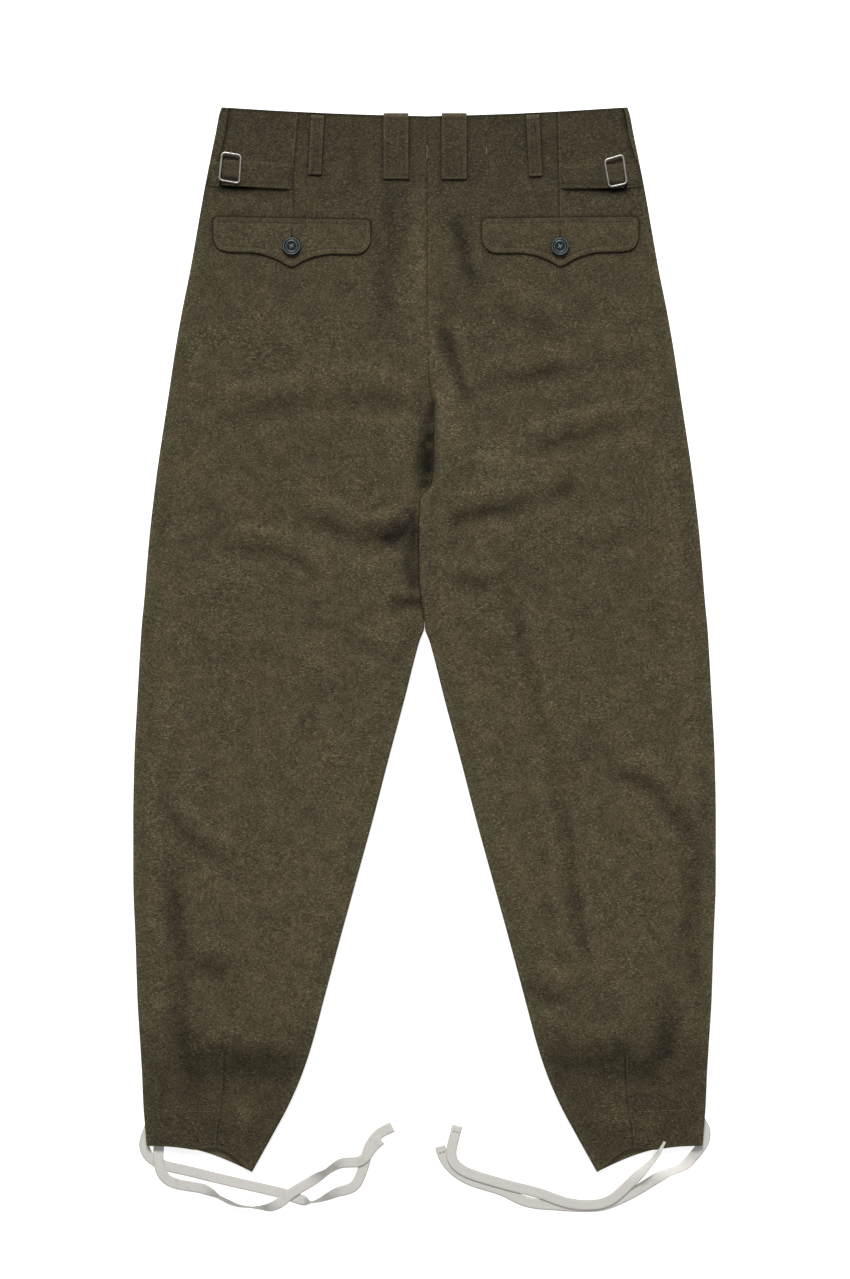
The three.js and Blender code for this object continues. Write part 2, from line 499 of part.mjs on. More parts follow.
function addPanel(side, face) {
  const stepDown = 1e-4;
  const stepWay = 0.01;
  const upper = [];
  const lower = [];
  for (const down of sectionPlaces()) {
    const here = section(side, face, down);
    const above = section(side, face, down - stepDown);
    const below = section(side, face, down + stepDown);
    const upperRow = [];
    const lowerRow = [];
    for (const way of columnWays(here)) {
      const point = clothPoint(here, way);
      const along = clothPoint(below, way).sub(clothPoint(above, way));
      const round = clothPoint(here, way + stepWay).sub(clothPoint(here, way - stepWay));
      const normal = along.cross(round).normalize().multiplyScalar(halfCloth);
      upperRow.push(point.clone().add(normal));
      lowerRow.push(point.clone().sub(normal));
    }
    upper.push(upperRow);
    lower.push(lowerRow);
  }
  for (const point of [...upper.flat(), ...lower.flat()]) {
    point.z = Math.max(point.z, 0);
  }
  addPiece(`${face}_${side}`, wall(upper, lower), materials.wool);
}

// Upper face of a back panel where it lies plain.
function backTop(x, y) {
  return backHeight + foldHeight(x, y, x < 0 ? 'left' : 'right');
}

// A flat piece that lies on the back panel, as a grid of places made into a wall.
function layOnBack(places, thickness) {
  const lift = (extra) => places.map((row) => row.map(({ x, y, bow = 0 }) => (
    new THREE.Vector3(x, y, backTop(x, y) + cloth.seamGap + bow + extra))));
  return wall(lift(thickness), lift(0));
}

function addStrip({ name, x, y, endX, endY, breadth, bow }) {
  const run = new THREE.Vector2(endX - x, endY - y);
  const side = new THREE.Vector2(-run.y, run.x).normalize().multiplyScalar(breadth / 2);
  const places = [];
  for (let i = 0; i <= strip.rows; i += 1) {
    const t = i / strip.rows;
    places.push([-1, 0, 1].map((across) => ({
      x: x + run.x * t + side.x * across,
      y: y + run.y * t + side.y * across,
      bow: bow * Math.sin(Math.PI * t) ** 2,
    })));
  }
  addPiece(name, layOnBack(places, strip.cloth), materials.wool);
}

function addFlap({ name, innerX, outerX, y, outerY }) {
  const edge = lineThrough(flapEdge, 'across', 'depth');
  const places = [];
  for (let i = 0; i <= flap.rows; i += 1) {
    const row = [];
    for (let j = 0; j <= flap.columns; j += 1) {
      const across = (1 - Math.cos(Math.PI * j / flap.columns)) / 2;
      const nearSide = Math.min(across, 1 - across) * flap.width;
      const top = -flap.topCorner * (1 - smooth(nearSide / flap.topCorner));
      const below = THREE.MathUtils.lerp(top, -edge(across), i / flap.rows);
      row.push({
        x: THREE.MathUtils.lerp(innerX, outerX, across),
        y: THREE.MathUtils.lerp(y, outerY, across) + below,
      });
    }
    places.push(row);
  }
  addPiece(name, layOnBack(places, flap.cloth), materials.wool);
}

function roundedBox(width, height, corner) {
  const shape = new THREE.Shape();
  const x = width / 2;
  const y = height / 2;
  const quarter = Math.PI / 2;
  shape.moveTo(x, y - corner);
  shape.absarc(x - corner, y - corner, corner, 0, quarter);
  shape.absarc(corner - x, y - corner, corner, quarter, 2 * quarter);
  shape.absarc(corner - x, corner - y, corner, 2 * quarter, 3 * quarter);
  shape.absarc(x - corner, corner - y, corner, 3 * quarter, 4 * quarter);
  return shape;
}

// A wire frame: a rounded outline with a rounded window, its edges bevelled.
function addBuckle({ name, x, y, turn }) {
  const { width, height, wire, corner, bevel } = buckle;
  const inset = 2 * (wire - bevel);
  const frame = roundedBox(width - 2 * bevel, height - 2 * bevel, corner - bevel);
  frame.holes.push(roundedBox(width - inset, height - inset, corner - wire + bevel));
  const geometry = new THREE.ExtrudeGeometry(frame, {
    depth: wire - 2 * bevel,
    bevelThickness: bevel,
    bevelSize: bevel,
    bevelSegments: 1,
    curveSegments: buckle.cornerSteps,
  });
  geometry.translate(0, 0, bevel);
  geometry.rotateZ(THREE.MathUtils.degToRad(turn));
  geometry.translate(x, y, backTop(x, y) + 2 * cloth.seamGap + strip.cloth);
  addPiece(name, geometry, materials.steel);
}

function solidOf(geometry) {
  const bare = geometry.clone();
  bare.deleteAttribute('normal');
  bare.deleteAttribute('uv');
  const merged = mergeVertices(bare);
  return new wasm.Manifold(new wasm.Mesh({
    numProp: 3,
    vertProperties: Float32Array.from(merged.attributes.position.array),
    triVerts: Uint32Array.from(merged.index.array),
  }));
}

function geometryOf(solid) {
  const mesh = solid.getMesh();
  const geometry = new THREE.BufferGeometry();
  geometry.setAttribute('position', new THREE.Float32BufferAttribute(mesh.vertProperties, 3));
  geometry.setIndex(Array.from(mesh.triVerts));
  return geometry;
}

// A dished button with a raised rim and four sewing holes.
function addButton({ name, x, y }) {
  const { radius, height, holeRadius, holeOffset, holeSides } = button;
  const profile = buttonProfile.map(({ out, up }) => new THREE.Vector2(out * radius, up * height));
  let solid = solidOf(new THREE.LatheGeometry(profile, button.sides).rotateX(Math.PI / 2));
  for (const [dx, dy] of [[1, 1], [1, -1], [-1, 1], [-1, -1]]) {
    const hole = new THREE.CylinderGeometry(holeRadius, holeRadius, 3 * height, holeSides);
    hole.rotateX(Math.PI / 2).translate(dx * holeOffset, dy * holeOffset, 0);
    solid = solid.subtract(solidOf(hole));
  }
  const rest = backTop(x, y) + 2 * cloth.seamGap + flap.cloth;
  addPiece(name, geometryOf(solid).translate(x, y, rest), materials.button);
}

// A flat tape swept along its route. Its section leans on edge where the tape is twisted.
function addTape({ name, route }) {
  const places = route.map(({ x, y }) => new THREE.Vector3(x, y, 0));
  const centres = new THREE.CatmullRomCurve3(places, false, 'centripetal');
  const table = route.map((row, i) => ({ at: i / (route.length - 1), width: tape.width, ...row }));
  const leanAt = lineThrough(table, 'at', 'lean');
  const liftAt = lineThrough(table, 'at', 'lift');
  const widthAt = lineThrough(table, 'at', 'width');
  const { edge } = tape;
  const positions = [];
  for (let i = 0; i <= tape.steps; i += 1) {
    const t = centres.getUtoTmapping(i / tape.steps);
    const along = centres.getTangent(t);
    const lean = THREE.MathUtils.degToRad(leanAt(t));
    const rise = (widthAt(t) * Math.sin(lean) + tape.thickness * Math.cos(lean)) / 2;
    const centre = centres.getPoint(t).setZ(liftAt(t) + rise);
    const across = new THREE.Vector3(-along.y, along.x, 0).multiplyScalar(Math.cos(lean));
    across.setZ(Math.sin(lean));
    const up = along.clone().cross(across);
    const x = widthAt(t) / 2;
    const z = tape.thickness / 2;
    const outline = [
      [x, edge - z], [x, z - edge], [x - edge, z], [edge - x, z],
      [-x, z - edge], [-x, edge - z], [edge - x, -z], [x - edge, -z],
    ];
    for (const [a, b] of outline) {
      positions.push(...centre.clone().addScaledVector(across, a).addScaledVector(up, b).toArray());
    }
  }
  const sides = positions.length / 3 / (tape.steps + 1);
  const faces = [];
  for (let i = 0; i < tape.steps; i += 1) {
    for (let j = 0; j < sides; j += 1) {
      const a = i * sides + j;
      const b = i * sides + (j + 1) % sides;
      faces.push(a, b, b + sides, a, b + sides, a + sides);
    }
  }
  const end = tape.steps * sides;
  for (let j = 1; j < sides - 1; j += 1) {
    faces.push(0, j + 1, j, end, end + j, end + j + 1);
  }
  addPiece(name, closedBody(positions, faces), materials.tape);
}

// The strip that closes the front opening from inside, between the front and the back.
function addFlyLap() {
  const { top, bottom, left, right } = flyLap;
  const { lerp } = THREE.MathUtils;
  const count = (n) => Array.from({ length: n + 1 }, (_, i) => i / n);
  const rowAt = (y, z) => count(flyLap.columns).map((across) => (
    new THREE.Vector3(lerp(left, right, across), y, z)));
  const layer = (z) => count(flyLap.rows).map((down) => rowAt(lerp(top, bottom, down), z));
  const low = cloth.thickness + cloth.seamGap;
  addPiece('fly_underlap', wall(layer(low + flyLap.cloth), layer(low)), materials.wool);
}

for (const side of ['left', 'right']) {
  addPanel(side, 'front');
  addPanel(side, 'back');
}
addFlyLap();
flaps.forEach(addFlap);
buttons.forEach(addButton);
strips.forEach(addStrip);
buckles.forEach(addBuckle);
tapes.forEach(addTape);

export default trousers;
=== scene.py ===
import bpy
import numpy as np
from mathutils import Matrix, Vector


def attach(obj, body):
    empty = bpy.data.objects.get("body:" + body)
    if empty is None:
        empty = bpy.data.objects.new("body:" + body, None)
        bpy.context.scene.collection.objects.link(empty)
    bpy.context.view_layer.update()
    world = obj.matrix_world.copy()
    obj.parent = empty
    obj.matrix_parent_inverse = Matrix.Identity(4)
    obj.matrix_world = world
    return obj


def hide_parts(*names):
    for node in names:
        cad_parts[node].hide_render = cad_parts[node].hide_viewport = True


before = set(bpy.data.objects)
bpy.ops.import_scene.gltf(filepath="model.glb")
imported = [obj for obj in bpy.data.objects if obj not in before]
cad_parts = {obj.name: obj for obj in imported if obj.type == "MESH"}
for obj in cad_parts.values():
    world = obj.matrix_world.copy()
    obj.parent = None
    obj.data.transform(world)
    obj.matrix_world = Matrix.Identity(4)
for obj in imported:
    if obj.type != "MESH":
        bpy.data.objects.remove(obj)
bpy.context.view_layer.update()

# Wool trousers laid flat with the back side up. Sizes are millimetres in the frame of the
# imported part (X across, +Y to the waist, Z up from the surface) and become metres in the mesh.
mm = 0.001
print("frame loaded:", len(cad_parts), "nodes")


# Camera, floor and light

view = {"height": 3000, "x": 0.5, "y": 0.5, "long": 1279, "lies": 5, "sensor": 36}
studio = {
    "floor": 3.2, "floorTone": 0.9, "floorGlow": 0.6, "skyTone": 0.3,
    "keyPlace": (-380, 3300, 2700), "keySize": 1500, "keyPower": 215,
    "fillPlace": (500, -900, 2600), "fillSize": 2400, "fillPower": 10,
}


def placeCamera():  # straight down, with 1 mm on the cloth as one pixel of a picture 1279 pixels high
    lens = bpy.data.cameras.new("camera")
    lens.sensor_width = view["sensor"]
    lens.lens = view["sensor"] * (view["height"] - view["lies"]) / view["long"]
    lens.clip_end = 100
    camera = bpy.data.objects.new("camera", lens)
    camera.location = Vector((view["x"], view["y"], view["height"])) * mm
    bpy.context.scene.collection.objects.link(camera)
    bpy.context.scene.camera = camera


def areaLight(name, place, size, power):
    light = bpy.data.lights.new(name, "AREA")
    light.shape, light.size, light.energy = "DISK", size * mm, power
    lamp = bpy.data.objects.new(name, light)
    lamp.location = Vector(place) * mm
    lamp.rotation_mode = "QUATERNION"
    lamp.rotation_quaternion = (-lamp.location).to_track_quat("-Z", "Y")
    bpy.context.scene.collection.objects.link(lamp)


def layFloor():
    half = studio["floor"] / 2
    mesh = bpy.data.meshes.new("floor")
    corners = [(-half, -half), (half, -half), (half, half), (-half, half)]
    mesh.from_pydata([(x, y, -0.0003) for x, y in corners], [], [(0, 1, 2, 3)])
    paper = bpy.data.materials.new("floorPaper")
    paper.use_nodes = True
    shader = paper.node_tree.nodes["Principled BSDF"]
    tone = studio["floorTone"]
    shader.inputs["Base Color"].default_value = (tone, tone, tone, 1)
    shader.inputs["Roughness"].default_value = 1
    shader.inputs["Specular IOR Level"].default_value = 0
    shader.inputs["Emission Color"].default_value = (1, 1, 1, 1)
    shader.inputs["Emission Strength"].default_value = studio["floorGlow"]
    mesh.materials.append(paper)
    floor = bpy.data.objects.new("floor", mesh)
    bpy.context.scene.collection.objects.link(floor)


def lightScene():
    world = bpy.data.worlds.new("studioAir")
    world.use_nodes = True
    tone = studio["skyTone"]
    world.node_tree.nodes["Background"].inputs["Color"].default_value = (tone, tone, tone, 1)
    bpy.context.scene.world = world
    areaLight("keyLight", studio["keyPlace"], studio["keySize"], studio["keyPower"])
    areaLight("fillLight", studio["fillPlace"], studio["fillSize"], studio["fillPower"])
    bpy.context.scene.view_settings.view_transform = "Standard"


placeCamera()
layFloor()
lightScene()
print("camera, floor and lights placed")


# Curves and grids that the pieces share

def smooth(t):  # 3 t^2 - 2 t^3, held at 0 and 1 outside
    t = np.clip(t, 0, 1)
    return t * t * (3 - 2 * t)


def hump(t):  # (1 - t^2)^2 between -1 and 1, else 0
    return np.where(np.abs(t) < 1, (1 - t * t) ** 2, 0)


def bell(t):  # e^(-t^2)
    return np.exp(-t * t)


def blend(a, b, t):  # a at 0 and b at 1
    return a + (b - a) * t


def unit(a):  # vectors made one long
    return a / np.maximum(np.linalg.norm(a, axis=-1, keepdims=True), 1e-9)


def above(value, start, over):  # 0 up to start, then smooth to 1 over that distance
    return smooth((value - start) / over)


def below(value, start, over):  # 0 from start upwards, and smooth to 1 over that distance below it
    return smooth((start - value) / over)


def columnsOf(names, rows):  # the columns of a table by their names
    return dict(zip(names.split(), np.array(rows, float).T))


def titled(name):  # belt_loop_wide_left becomes BeltLoopWideLeft
    return name.replace("_", " ").title().replace(" ", "")


def lengthAlong(line):  # the running sum of the chords between the points of a line
    return np.concatenate(([0], np.cumsum(np.linalg.norm(np.diff(line, axis=0), axis=1))))


def evenLine(line, count, endpoint=True):  # the same flat line with its points evenly apart
    length = lengthAlong(line)
    even = np.linspace(0, length[-1], count, endpoint=endpoint)
    return np.stack([np.interp(even, length, line[:, k]) for k in (0, 1)], axis=-1)


# A smooth line through table rows: cubic pieces whose slopes are the harmonic mean of the two
# neighbouring rates, or 0 at a turn, so that it never swings past a row.
def lineThrough(at, value):
    order = np.argsort(at)
    at, value = at[order], value[order]
    rate = np.diff(value) / np.diff(at)
    product = rate[:-1] * rate[1:]
    total = np.where(product > 0, rate[:-1] + rate[1:], 1)
    slope = np.concatenate((rate[:1], np.where(product > 0, 2 * product / total, 0), rate[-1:]))

    def line(where):
        k = np.clip(where, at[0], at[-1])
        i = np.clip(np.searchsorted(at, k) - 1, 0, len(at) - 2)
        span = at[i + 1] - at[i]
        t = (k - at[i]) / span
        return (value[i] * (1 + 2 * t) * (1 - t) ** 2 + slope[i] * span * t * (1 - t) ** 2
                + value[i + 1] * t * t * (3 - 2 * t) + slope[i + 1] * span * t * t * (t - 1))

    return line


# Soft random heights from -1 to 1: seeded numbers on a lattice of that cell size, joined
# between the four corners of each cell by 6t^5 - 15t^4 + 10t^3.
def ripple(x, y, cell, seed):
    numbers = np.random.default_rng(seed).uniform(-1, 1, (401, 401))
    u, v = x / cell + 200.37, y / cell + 200.61
    i, j = np.floor(u).astype(int), np.floor(v).astype(int)
    a, b = u - i, v - j
    i, j = i % 400, j % 400
    a, b = a ** 3 * (a * (6 * a - 15) + 10), b ** 3 * (b * (6 * b - 15) + 10)
    low = blend(numbers[i, j], numbers[i + 1, j], a)
    high = blend(numbers[i, j + 1], numbers[i + 1, j + 1], a)
    return blend(low, high, b)


# Draws the entries of rising rows together round one place in each row, which one entry then
# hits. Each moves by pull * bell(distance / reach), and the spacing at the place halves.
def drawTogether(ways, place, strength, reach=40, tight=6):
    row = np.argmax(strength)
    nearest = np.argmin(np.abs(ways[row] - place[row]))
    pull = (place - ways[:, nearest:nearest + 1]) * strength
    ways = ways + pull * bell((ways - place) / reach)
    away = ways - place
    return ways - strength * 0.5 * away * bell(away / tight)


# Mean of each entry's neighbours: shifted sums along one axis, then along the other.
def evened(values, reach):
    for axis in (0, 1):
        pad = [(reach, reach) if k == axis else (0, 0) for k in (0, 1)]
        total = np.cumsum(np.pad(values, pad, mode="edge"), axis=axis)
        total = np.insert(total, 0, 0, axis=axis)
        count = values.shape[axis]
        span = 2 * reach + 1
        upper = np.take(total, np.arange(span, span + count), axis=axis)
        values = (upper - np.take(total, np.arange(count), axis=axis)) / span
    return values


# Outward normals of a grid: the cross product of its two central differences.
def gridNormals(points):
    normals = unit(np.cross(np.gradient(points, axis=0), np.gradient(points, axis=1)))
    return normals if normals[..., 2].mean() > 0 else -normals


# Corner numbers of the quads of a grid of rows and columns.
def gridQuads(rows, cols, first=0, closed=False):
    numbers = first + np.arange(rows * cols).reshape(rows, cols)
    if closed:
        numbers = np.concatenate((numbers, numbers[:, :1]), axis=1)
    return np.stack((numbers[:-1, :-1], numbers[:-1, 1:], numbers[1:, 1:], numbers[1:, :-1]),
                    axis=-1).reshape(-1, 4)


# Quads that close a ring of an even count of corners: each joins two of one half to two of the other.
def lidOf(ring):
    half = len(ring) // 2
    return np.stack((ring[:half - 1], ring[1:half], ring[::-1][1:half], ring[::-1][:half - 1]), axis=-1)


# Turns closed faces outwards: the sum of a . (b x c) over their triangles is six times the volume.
def turnedOut(points, faces):
    a, b, c, d = (points[faces[:, k]] for k in range(4))
    volume = (a * np.cross(b, c)).sum() + (a * np.cross(c, d)).sum()
    return faces if volume > 0 else faces[:, ::-1]


# Values of a cloth grid for its material: those given, and far or none for the others.
def clothValues(shape, **given):
    plain = {"tone": 0, "worn": 0, "reverse": 0, "dart": 99, "inDart": 0, "brink": 99, "inside": 99}
    return {key: np.zeros(shape) + given.get(key, value) for key, value in plain.items()}


# A smooth mesh of quads with its attributes and map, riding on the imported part's body.
def makePiece(name, points, faces, material, values=None, uv=None):
    points = np.asarray(points, float).reshape(-1, 3)
    faces = turnedOut(points, np.asarray(faces))
    mesh = bpy.data.meshes.new(name)
    mesh.vertices.add(len(points))
    mesh.vertices.foreach_set("co", (points * mm).astype(np.float32).ravel())
    mesh.loops.add(4 * len(faces))
    mesh.loops.foreach_set("vertex_index", faces.astype(np.int32).ravel())
    mesh.polygons.add(len(faces))
    mesh.polygons.foreach_set("loop_start", np.arange(0, 4 * len(faces), 4, dtype=np.int32))
    mesh.polygons.foreach_set("use_smooth", np.ones(len(faces), bool))
    mesh.update(calc_edges=True)
    for key, value in (values or {}).items():
        layer = mesh.attributes.new(key, "FLOAT", "POINT")
        layer.data.foreach_set("value", np.asarray(value, np.float32).ravel())
    if uv is not None:
        layer = mesh.uv_layers.new(name="along")
        layer.data.foreach_set("uv", np.asarray(uv, np.float32)[faces.ravel()].ravel())
    mesh.materials.append(material)
    piece = bpy.data.objects.new(name, mesh)
    bpy.context.scene.collection.objects.link(piece)
    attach(piece, "root")
    return piece


# A closed cloth shell round a grid: outer = middle + half * normal, inner = middle - half * normal,
# and between them a rim of edge + half * cos(a) * normal + swell * sin(a) * outward, a from 0 to 180
# degrees. half and swell may change over the grid. Values of the grid are repeated on the rim.
def clothShell(middle, half, swell, rimSteps, values):
    rows, cols = middle.shape[:2]
    count = rows * cols
    normals = gridNormals(middle)
    half = np.zeros((rows, cols)) + half
    thick = half[..., None] * normals
    numbers = np.arange(count).reshape(rows, cols)
    loop = np.concatenate((numbers[0, :-1], numbers[:-1, -1], numbers[-1, :0:-1], numbers[:0:-1, 0]))
    edge, edgeNormal = middle.reshape(-1, 3)[loop], normals.reshape(-1, 3)[loop]
    run = unit(np.roll(edge, -1, axis=0) - edge) + unit(edge - np.roll(edge, 1, axis=0))
    outward = unit(np.cross(run, edgeNormal))
    if (outward * (edge - middle[rows // 2, cols // 2])).sum() < 0:
        outward = -outward
    angle = (np.pi * np.arange(1, rimSteps) / rimSteps)[:, None, None]
    size = (np.zeros((rows, cols)) + swell).reshape(-1)[loop][:, None]
    rim = edge + np.cos(angle) * thick.reshape(-1, 3)[loop] + size * np.sin(angle) * outward
    points = np.concatenate([part.reshape(-1, 3) for part in (middle + thick, middle - thick, rim)])
    between = 2 * count + np.arange((rimSteps - 1) * len(loop)).reshape(-1, len(loop))
    rings = np.concatenate((loop[None], between, count + loop[None]))
    after = np.roll(rings, -1, axis=1)
    rimFaces = np.stack((after[:-1], rings[:-1], rings[1:], after[1:]), axis=-1).reshape(-1, 4)
    faces = np.concatenate((gridQuads(rows, cols), gridQuads(rows, cols, count)[:, ::-1], rimFaces))
    spread = {key: np.concatenate((v.ravel(), v.ravel(), np.tile(v.ravel()[loop], rimSteps - 1)))
              for key, v in values.items()}
    return points, faces, spread


# A section carried along a path: centre + a * across + b * up for each point (a, b) of the
# section. An open one is closed at both ends by rings drawn in to the centre and a lid.
def carried(centres, across, up, section, closed=False):
    rings = centres[:, None] + section[..., 0, None] * across[:, None] + section[..., 1, None] * up[:, None]
    if closed:
        count, sides = rings.shape[:2]
        last, first = (count - 1) * sides + np.arange(sides), np.arange(sides)
        seam = np.stack((last, np.roll(last, -1), np.roll(first, -1), first), axis=-1)
        return rings.reshape(-1, 3), np.concatenate((gridQuads(count, sides, closed=True), seam))
    starts = [blend(rings[:1], centres[:1, None], share) for share in (0.97, 0.4)]
    ends = [blend(rings[-1:], centres[-1:, None], share) for share in (0.4, 0.97)]
    rings = np.concatenate((*starts, rings, *ends))
    count, sides = rings.shape[:2]
    lids = lidOf(np.arange(sides)[::-1]), lidOf((count - 1) * sides + np.arange(sides))
    return rings.reshape(-1, 3), np.concatenate((gridQuads(count, sides, closed=True), *lids))


# A thread or wire along points: a ring with half axes wide and high, at right angles to each run.
def roundAlong(centres, wide, high, sides, closed=False):
    if closed:
        along = unit(np.roll(centres, -1, axis=0) - np.roll(centres, 1, axis=0))
    else:
        along = unit(np.gradient(centres, axis=0))
    across = unit(np.cross(np.array((0, 0, 1.0)), along))
    up = np.cross(along, across)
    angle = 2 * np.pi * np.arange(sides) / sides
    section = np.stack((wide * np.cos(angle), high * np.sin(angle)), axis=-1)
    return carried(centres, across, up, np.tile(section, (len(centres), 1, 1)), closed)


# Finishes

def newGroup(name, inputs, outputs):  # each socket as (name, kind, value)
    group = bpy.data.node_groups.new(name, "ShaderNodeTree")
    for way, sockets in (("INPUT", inputs), ("OUTPUT", outputs)):
        for label, kind, *value in sockets:
            socket = group.interface.new_socket(name=label, in_out=way, socket_type=kind)
            if value:
                socket.default_value = value[0]
    return group, group.nodes.new("NodeGroupInput"), group.nodes.new("NodeGroupOutput")


def addNode(tree, kind, links=None, **settings):  # links give an input a value or another node's output
    node = tree.nodes.new(kind)
    for key, value in settings.items():
        setattr(node, key, value)
    for key, value in (links or {}).items():
        if isinstance(value, bpy.types.NodeSocket):
            tree.links.new(value, node.inputs[key])
        else:
            node.inputs[key].default_value = value
    return node


def calculate(tree, operation, a, b=0.0, c=0.0, clamped=False):
    links = {0: a, 1: b, 2: c}
    return addNode(tree, "ShaderNodeMath", links, operation=operation, use_clamp=clamped).outputs[0]


def times(tree, a, b):
    return calculate(tree, "MULTIPLY", a, b)


def scaledBy(tree, vector, factor):
    links = {0: vector, "Scale": factor}
    return addNode(tree, "ShaderNodeVectorMath", links, operation="SCALE").outputs[0]


def rangeOf(tree, value, low, high, toLow=0.0, toHigh=1.0):
    links = {"Value": value, "From Min": low, "From Max": high, "To Min": toLow, "To Max": toHigh}
    return addNode(tree, "ShaderNodeMapRange", links, interpolation_type="SMOOTHSTEP").outputs["Result"]


def mixed(tree, a, b, share):
    return addNode(tree, "ShaderNodeMix", {0: share, 6: a, 7: b}, data_type="RGBA").outputs[2]


def srgb(red, green, blue):  # a colour as read from a picture, 0 to 255, made linear
    share = np.array((red, green, blue)) / 255
    linear = np.where(share <= 0.04045, share / 12.92, ((share + 0.055) / 1.055) ** 2.4)
    return (*linear.tolist(), 1)


def noiseOf(tree, vector, scale, detail=2.0, roughness=0.5):
    links = {"Vector": vector, "Scale": scale, "Detail": detail, "Roughness": roughness}
    return addNode(tree, "ShaderNodeTexNoise", links).outputs["Fac"]


def objectPlace(tree):
    return addNode(tree, "ShaderNodeTexCoord").outputs["Object"]


def attributeOf(tree, name):
    return addNode(tree, "ShaderNodeAttribute", attribute_name=name).outputs["Fac"]


def placeGroup(tree, group, links):
    return addNode(tree, "ShaderNodeGroup", links, node_tree=group)


yarn = {  # scale, detail and roughness of a mottle; angle and scales along and across of the fibres
    "coarse": (330, 3.0, 0.62), "fine": (820, 2.0, 0.6), "coarseShare": 0.6,
    "fibres": ((0.35, 400, 1150), (1.55, 380, 1250), (2.6, 430, 1050)), "fibreDeep": 500,
    "pale": (0.64, 0.76), "dark": (0.36, 0.25),
}


# Napped yarn: a coarse and a fine mottle, and short fibres that lie in three directions.
# Mottle and Height run round 0.5, Fibres and Pits are masks of pale and of dark fibres.
def buildNap():
    group, start, end = newGroup(
        "nappedYarn",
        [("Vector", "NodeSocketVector"), ("Size", "NodeSocketFloat", 1.0)],
        [("Mottle", "NodeSocketFloat"), ("Fibres", "NodeSocketFloat"),
         ("Pits", "NodeSocketFloat"), ("Height", "NodeSocketFloat")])
    place = scaledBy(group, start.outputs["Vector"], start.outputs["Size"])
    coarse, fine = (noiseOf(group, place, *yarn[key]) for key in ("coarse", "fine"))
    masks = []
    for angle, long, thin in yarn["fibres"]:
        scales = {"Vector": place, "Rotation": (0, 0, angle), "Scale": (long, thin, yarn["fibreDeep"])}
        turned = addNode(group, "ShaderNodeMapping", scales)
        masks.append(noiseOf(group, turned.outputs[0], 1.0, 1.0, 0.4))
    most, least = (calculate(group, way, calculate(group, way, masks[0], masks[1]), masks[2])
                   for way in ("MAXIMUM", "MINIMUM"))
    share = yarn["coarseShare"]
    mottle = calculate(group, "ADD", times(group, coarse, share), times(group, fine, 1 - share))
    height = calculate(group, "ADD", times(group, fine, 0.5), times(group, most, 0.5))
    results = {"Mottle": mottle, "Fibres": rangeOf(group, most, *yarn["pale"]),
               "Pits": rangeOf(group, least, *yarn["dark"]), "Height": height}
    for label, result in results.items():
        group.links.new(result, end.inputs[label])
    return group


# Wear and painted shade: colour * (1 + Tone), then mixed with the worn colour by the mask. On the wool, Tone
# carries painted shade and light.
def buildWear():
    group, start, end = newGroup(
        "wearAndTone",
        [("Color", "NodeSocketColor"), ("Worn", "NodeSocketColor"),
         ("Mask", "NodeSocketFloat", 0.0), ("Tone", "NodeSocketFloat", 0.0)],
        [("Color", "NodeSocketColor")])
    given = start.outputs
    toned = scaledBy(group, given["Color"], calculate(group, "ADD", given["Tone"], 1.0))
    group.links.new(mixed(group, toned, given["Worn"], given["Mask"]), end.inputs["Color"])
    return group


napGroup = buildNap()
wearGroup = buildWear()


def newMaterial(name, roughness, **fixed):
    material = bpy.data.materials.new(name)
    material.use_nodes = True
    shader = material.node_tree.nodes["Principled BSDF"]
    shader.inputs["Roughness"].default_value = roughness
    for label, value in fixed.items():
        shader.inputs[label].default_value = value
    return material, material.node_tree, shader


# A colour worn and toned by the shared group.
def aged(tree, color, worn, mask, tone):
    node = placeGroup(tree, wearGroup, {"Color": color, "Worn": worn, "Mask": mask, "Tone": tone})
    return node.outputs["Color"]


def addBump(tree, shader, height, strength, distance):
    bump = addNode(tree, "ShaderNodeBump", {"Height": height, "Strength": strength, "Distance": distance})
    tree.links.new(bump.outputs["Normal"], shader.inputs["Normal"])


# Melange wool: green-grey and warm brown in soft patches, mottled, with pale and dark fibres.
# dart is how far a place lies outward of a dart, brink how far from a seam at the panel's own
# edge, and inside how far from the edge of a piece that lies on the back, all in millimetres.
wool = {
    "green": srgb(62, 57, 42), "brown": srgb(66, 59, 43), "fibre": srgb(121, 113, 87),
    "pit": srgb(30, 27, 19), "worn": srgb(92, 85, 63), "reverse": srgb(112, 104, 82),
    "sheen": srgb(205, 198, 170),
    "patches": (26, 3.0, 0.55), "flecks": (150, 2.0, 0.6), "cloudNoise": (85, 3.0, 0.65),
    "mottle": 2.5, "clouds": 0.18, "fleck": 0.25, "fibreShare": 0.62, "pitShare": 0.85, "reverseShare": 0.5,
    "nap": 0.6, "napDepth": 0.0006, "lineDepth": -2.0,
}
# groove, brink and dip are painted shade: dark lines in the dart grooves, along the seams at the panels'
# edges and in the dips where pieces on the back are sewn. ledge is a painted highlight beside the darts, and
# edge a pale rim on pieces on the back, partly wear and partly painted highlight.
woolLines = {  # place, reach and share of each line that follows a seam or an edge
    "groove": (-0.9, 1.3, 0.29), "brink": (0.0, 1.1, 0.34), "dip": (4.0, 0.8, 0.12),
    "ledge": (0.9, 0.55, 0.42), "edge": (0.0, 0.8, 0.26),
}


# A line of the wool as nodes: share * bell((value - place) / reach), where the bell is 2.718 to
# the power of minus the square.
def lineOf(tree, value, key):
    place, reach, share = woolLines[key]
    away = calculate(tree, "DIVIDE", calculate(tree, "SUBTRACT", value, place), reach)
    square = times(tree, times(tree, away, away), -1.0)
    return times(tree, calculate(tree, "POWER", float(np.e), square), share)
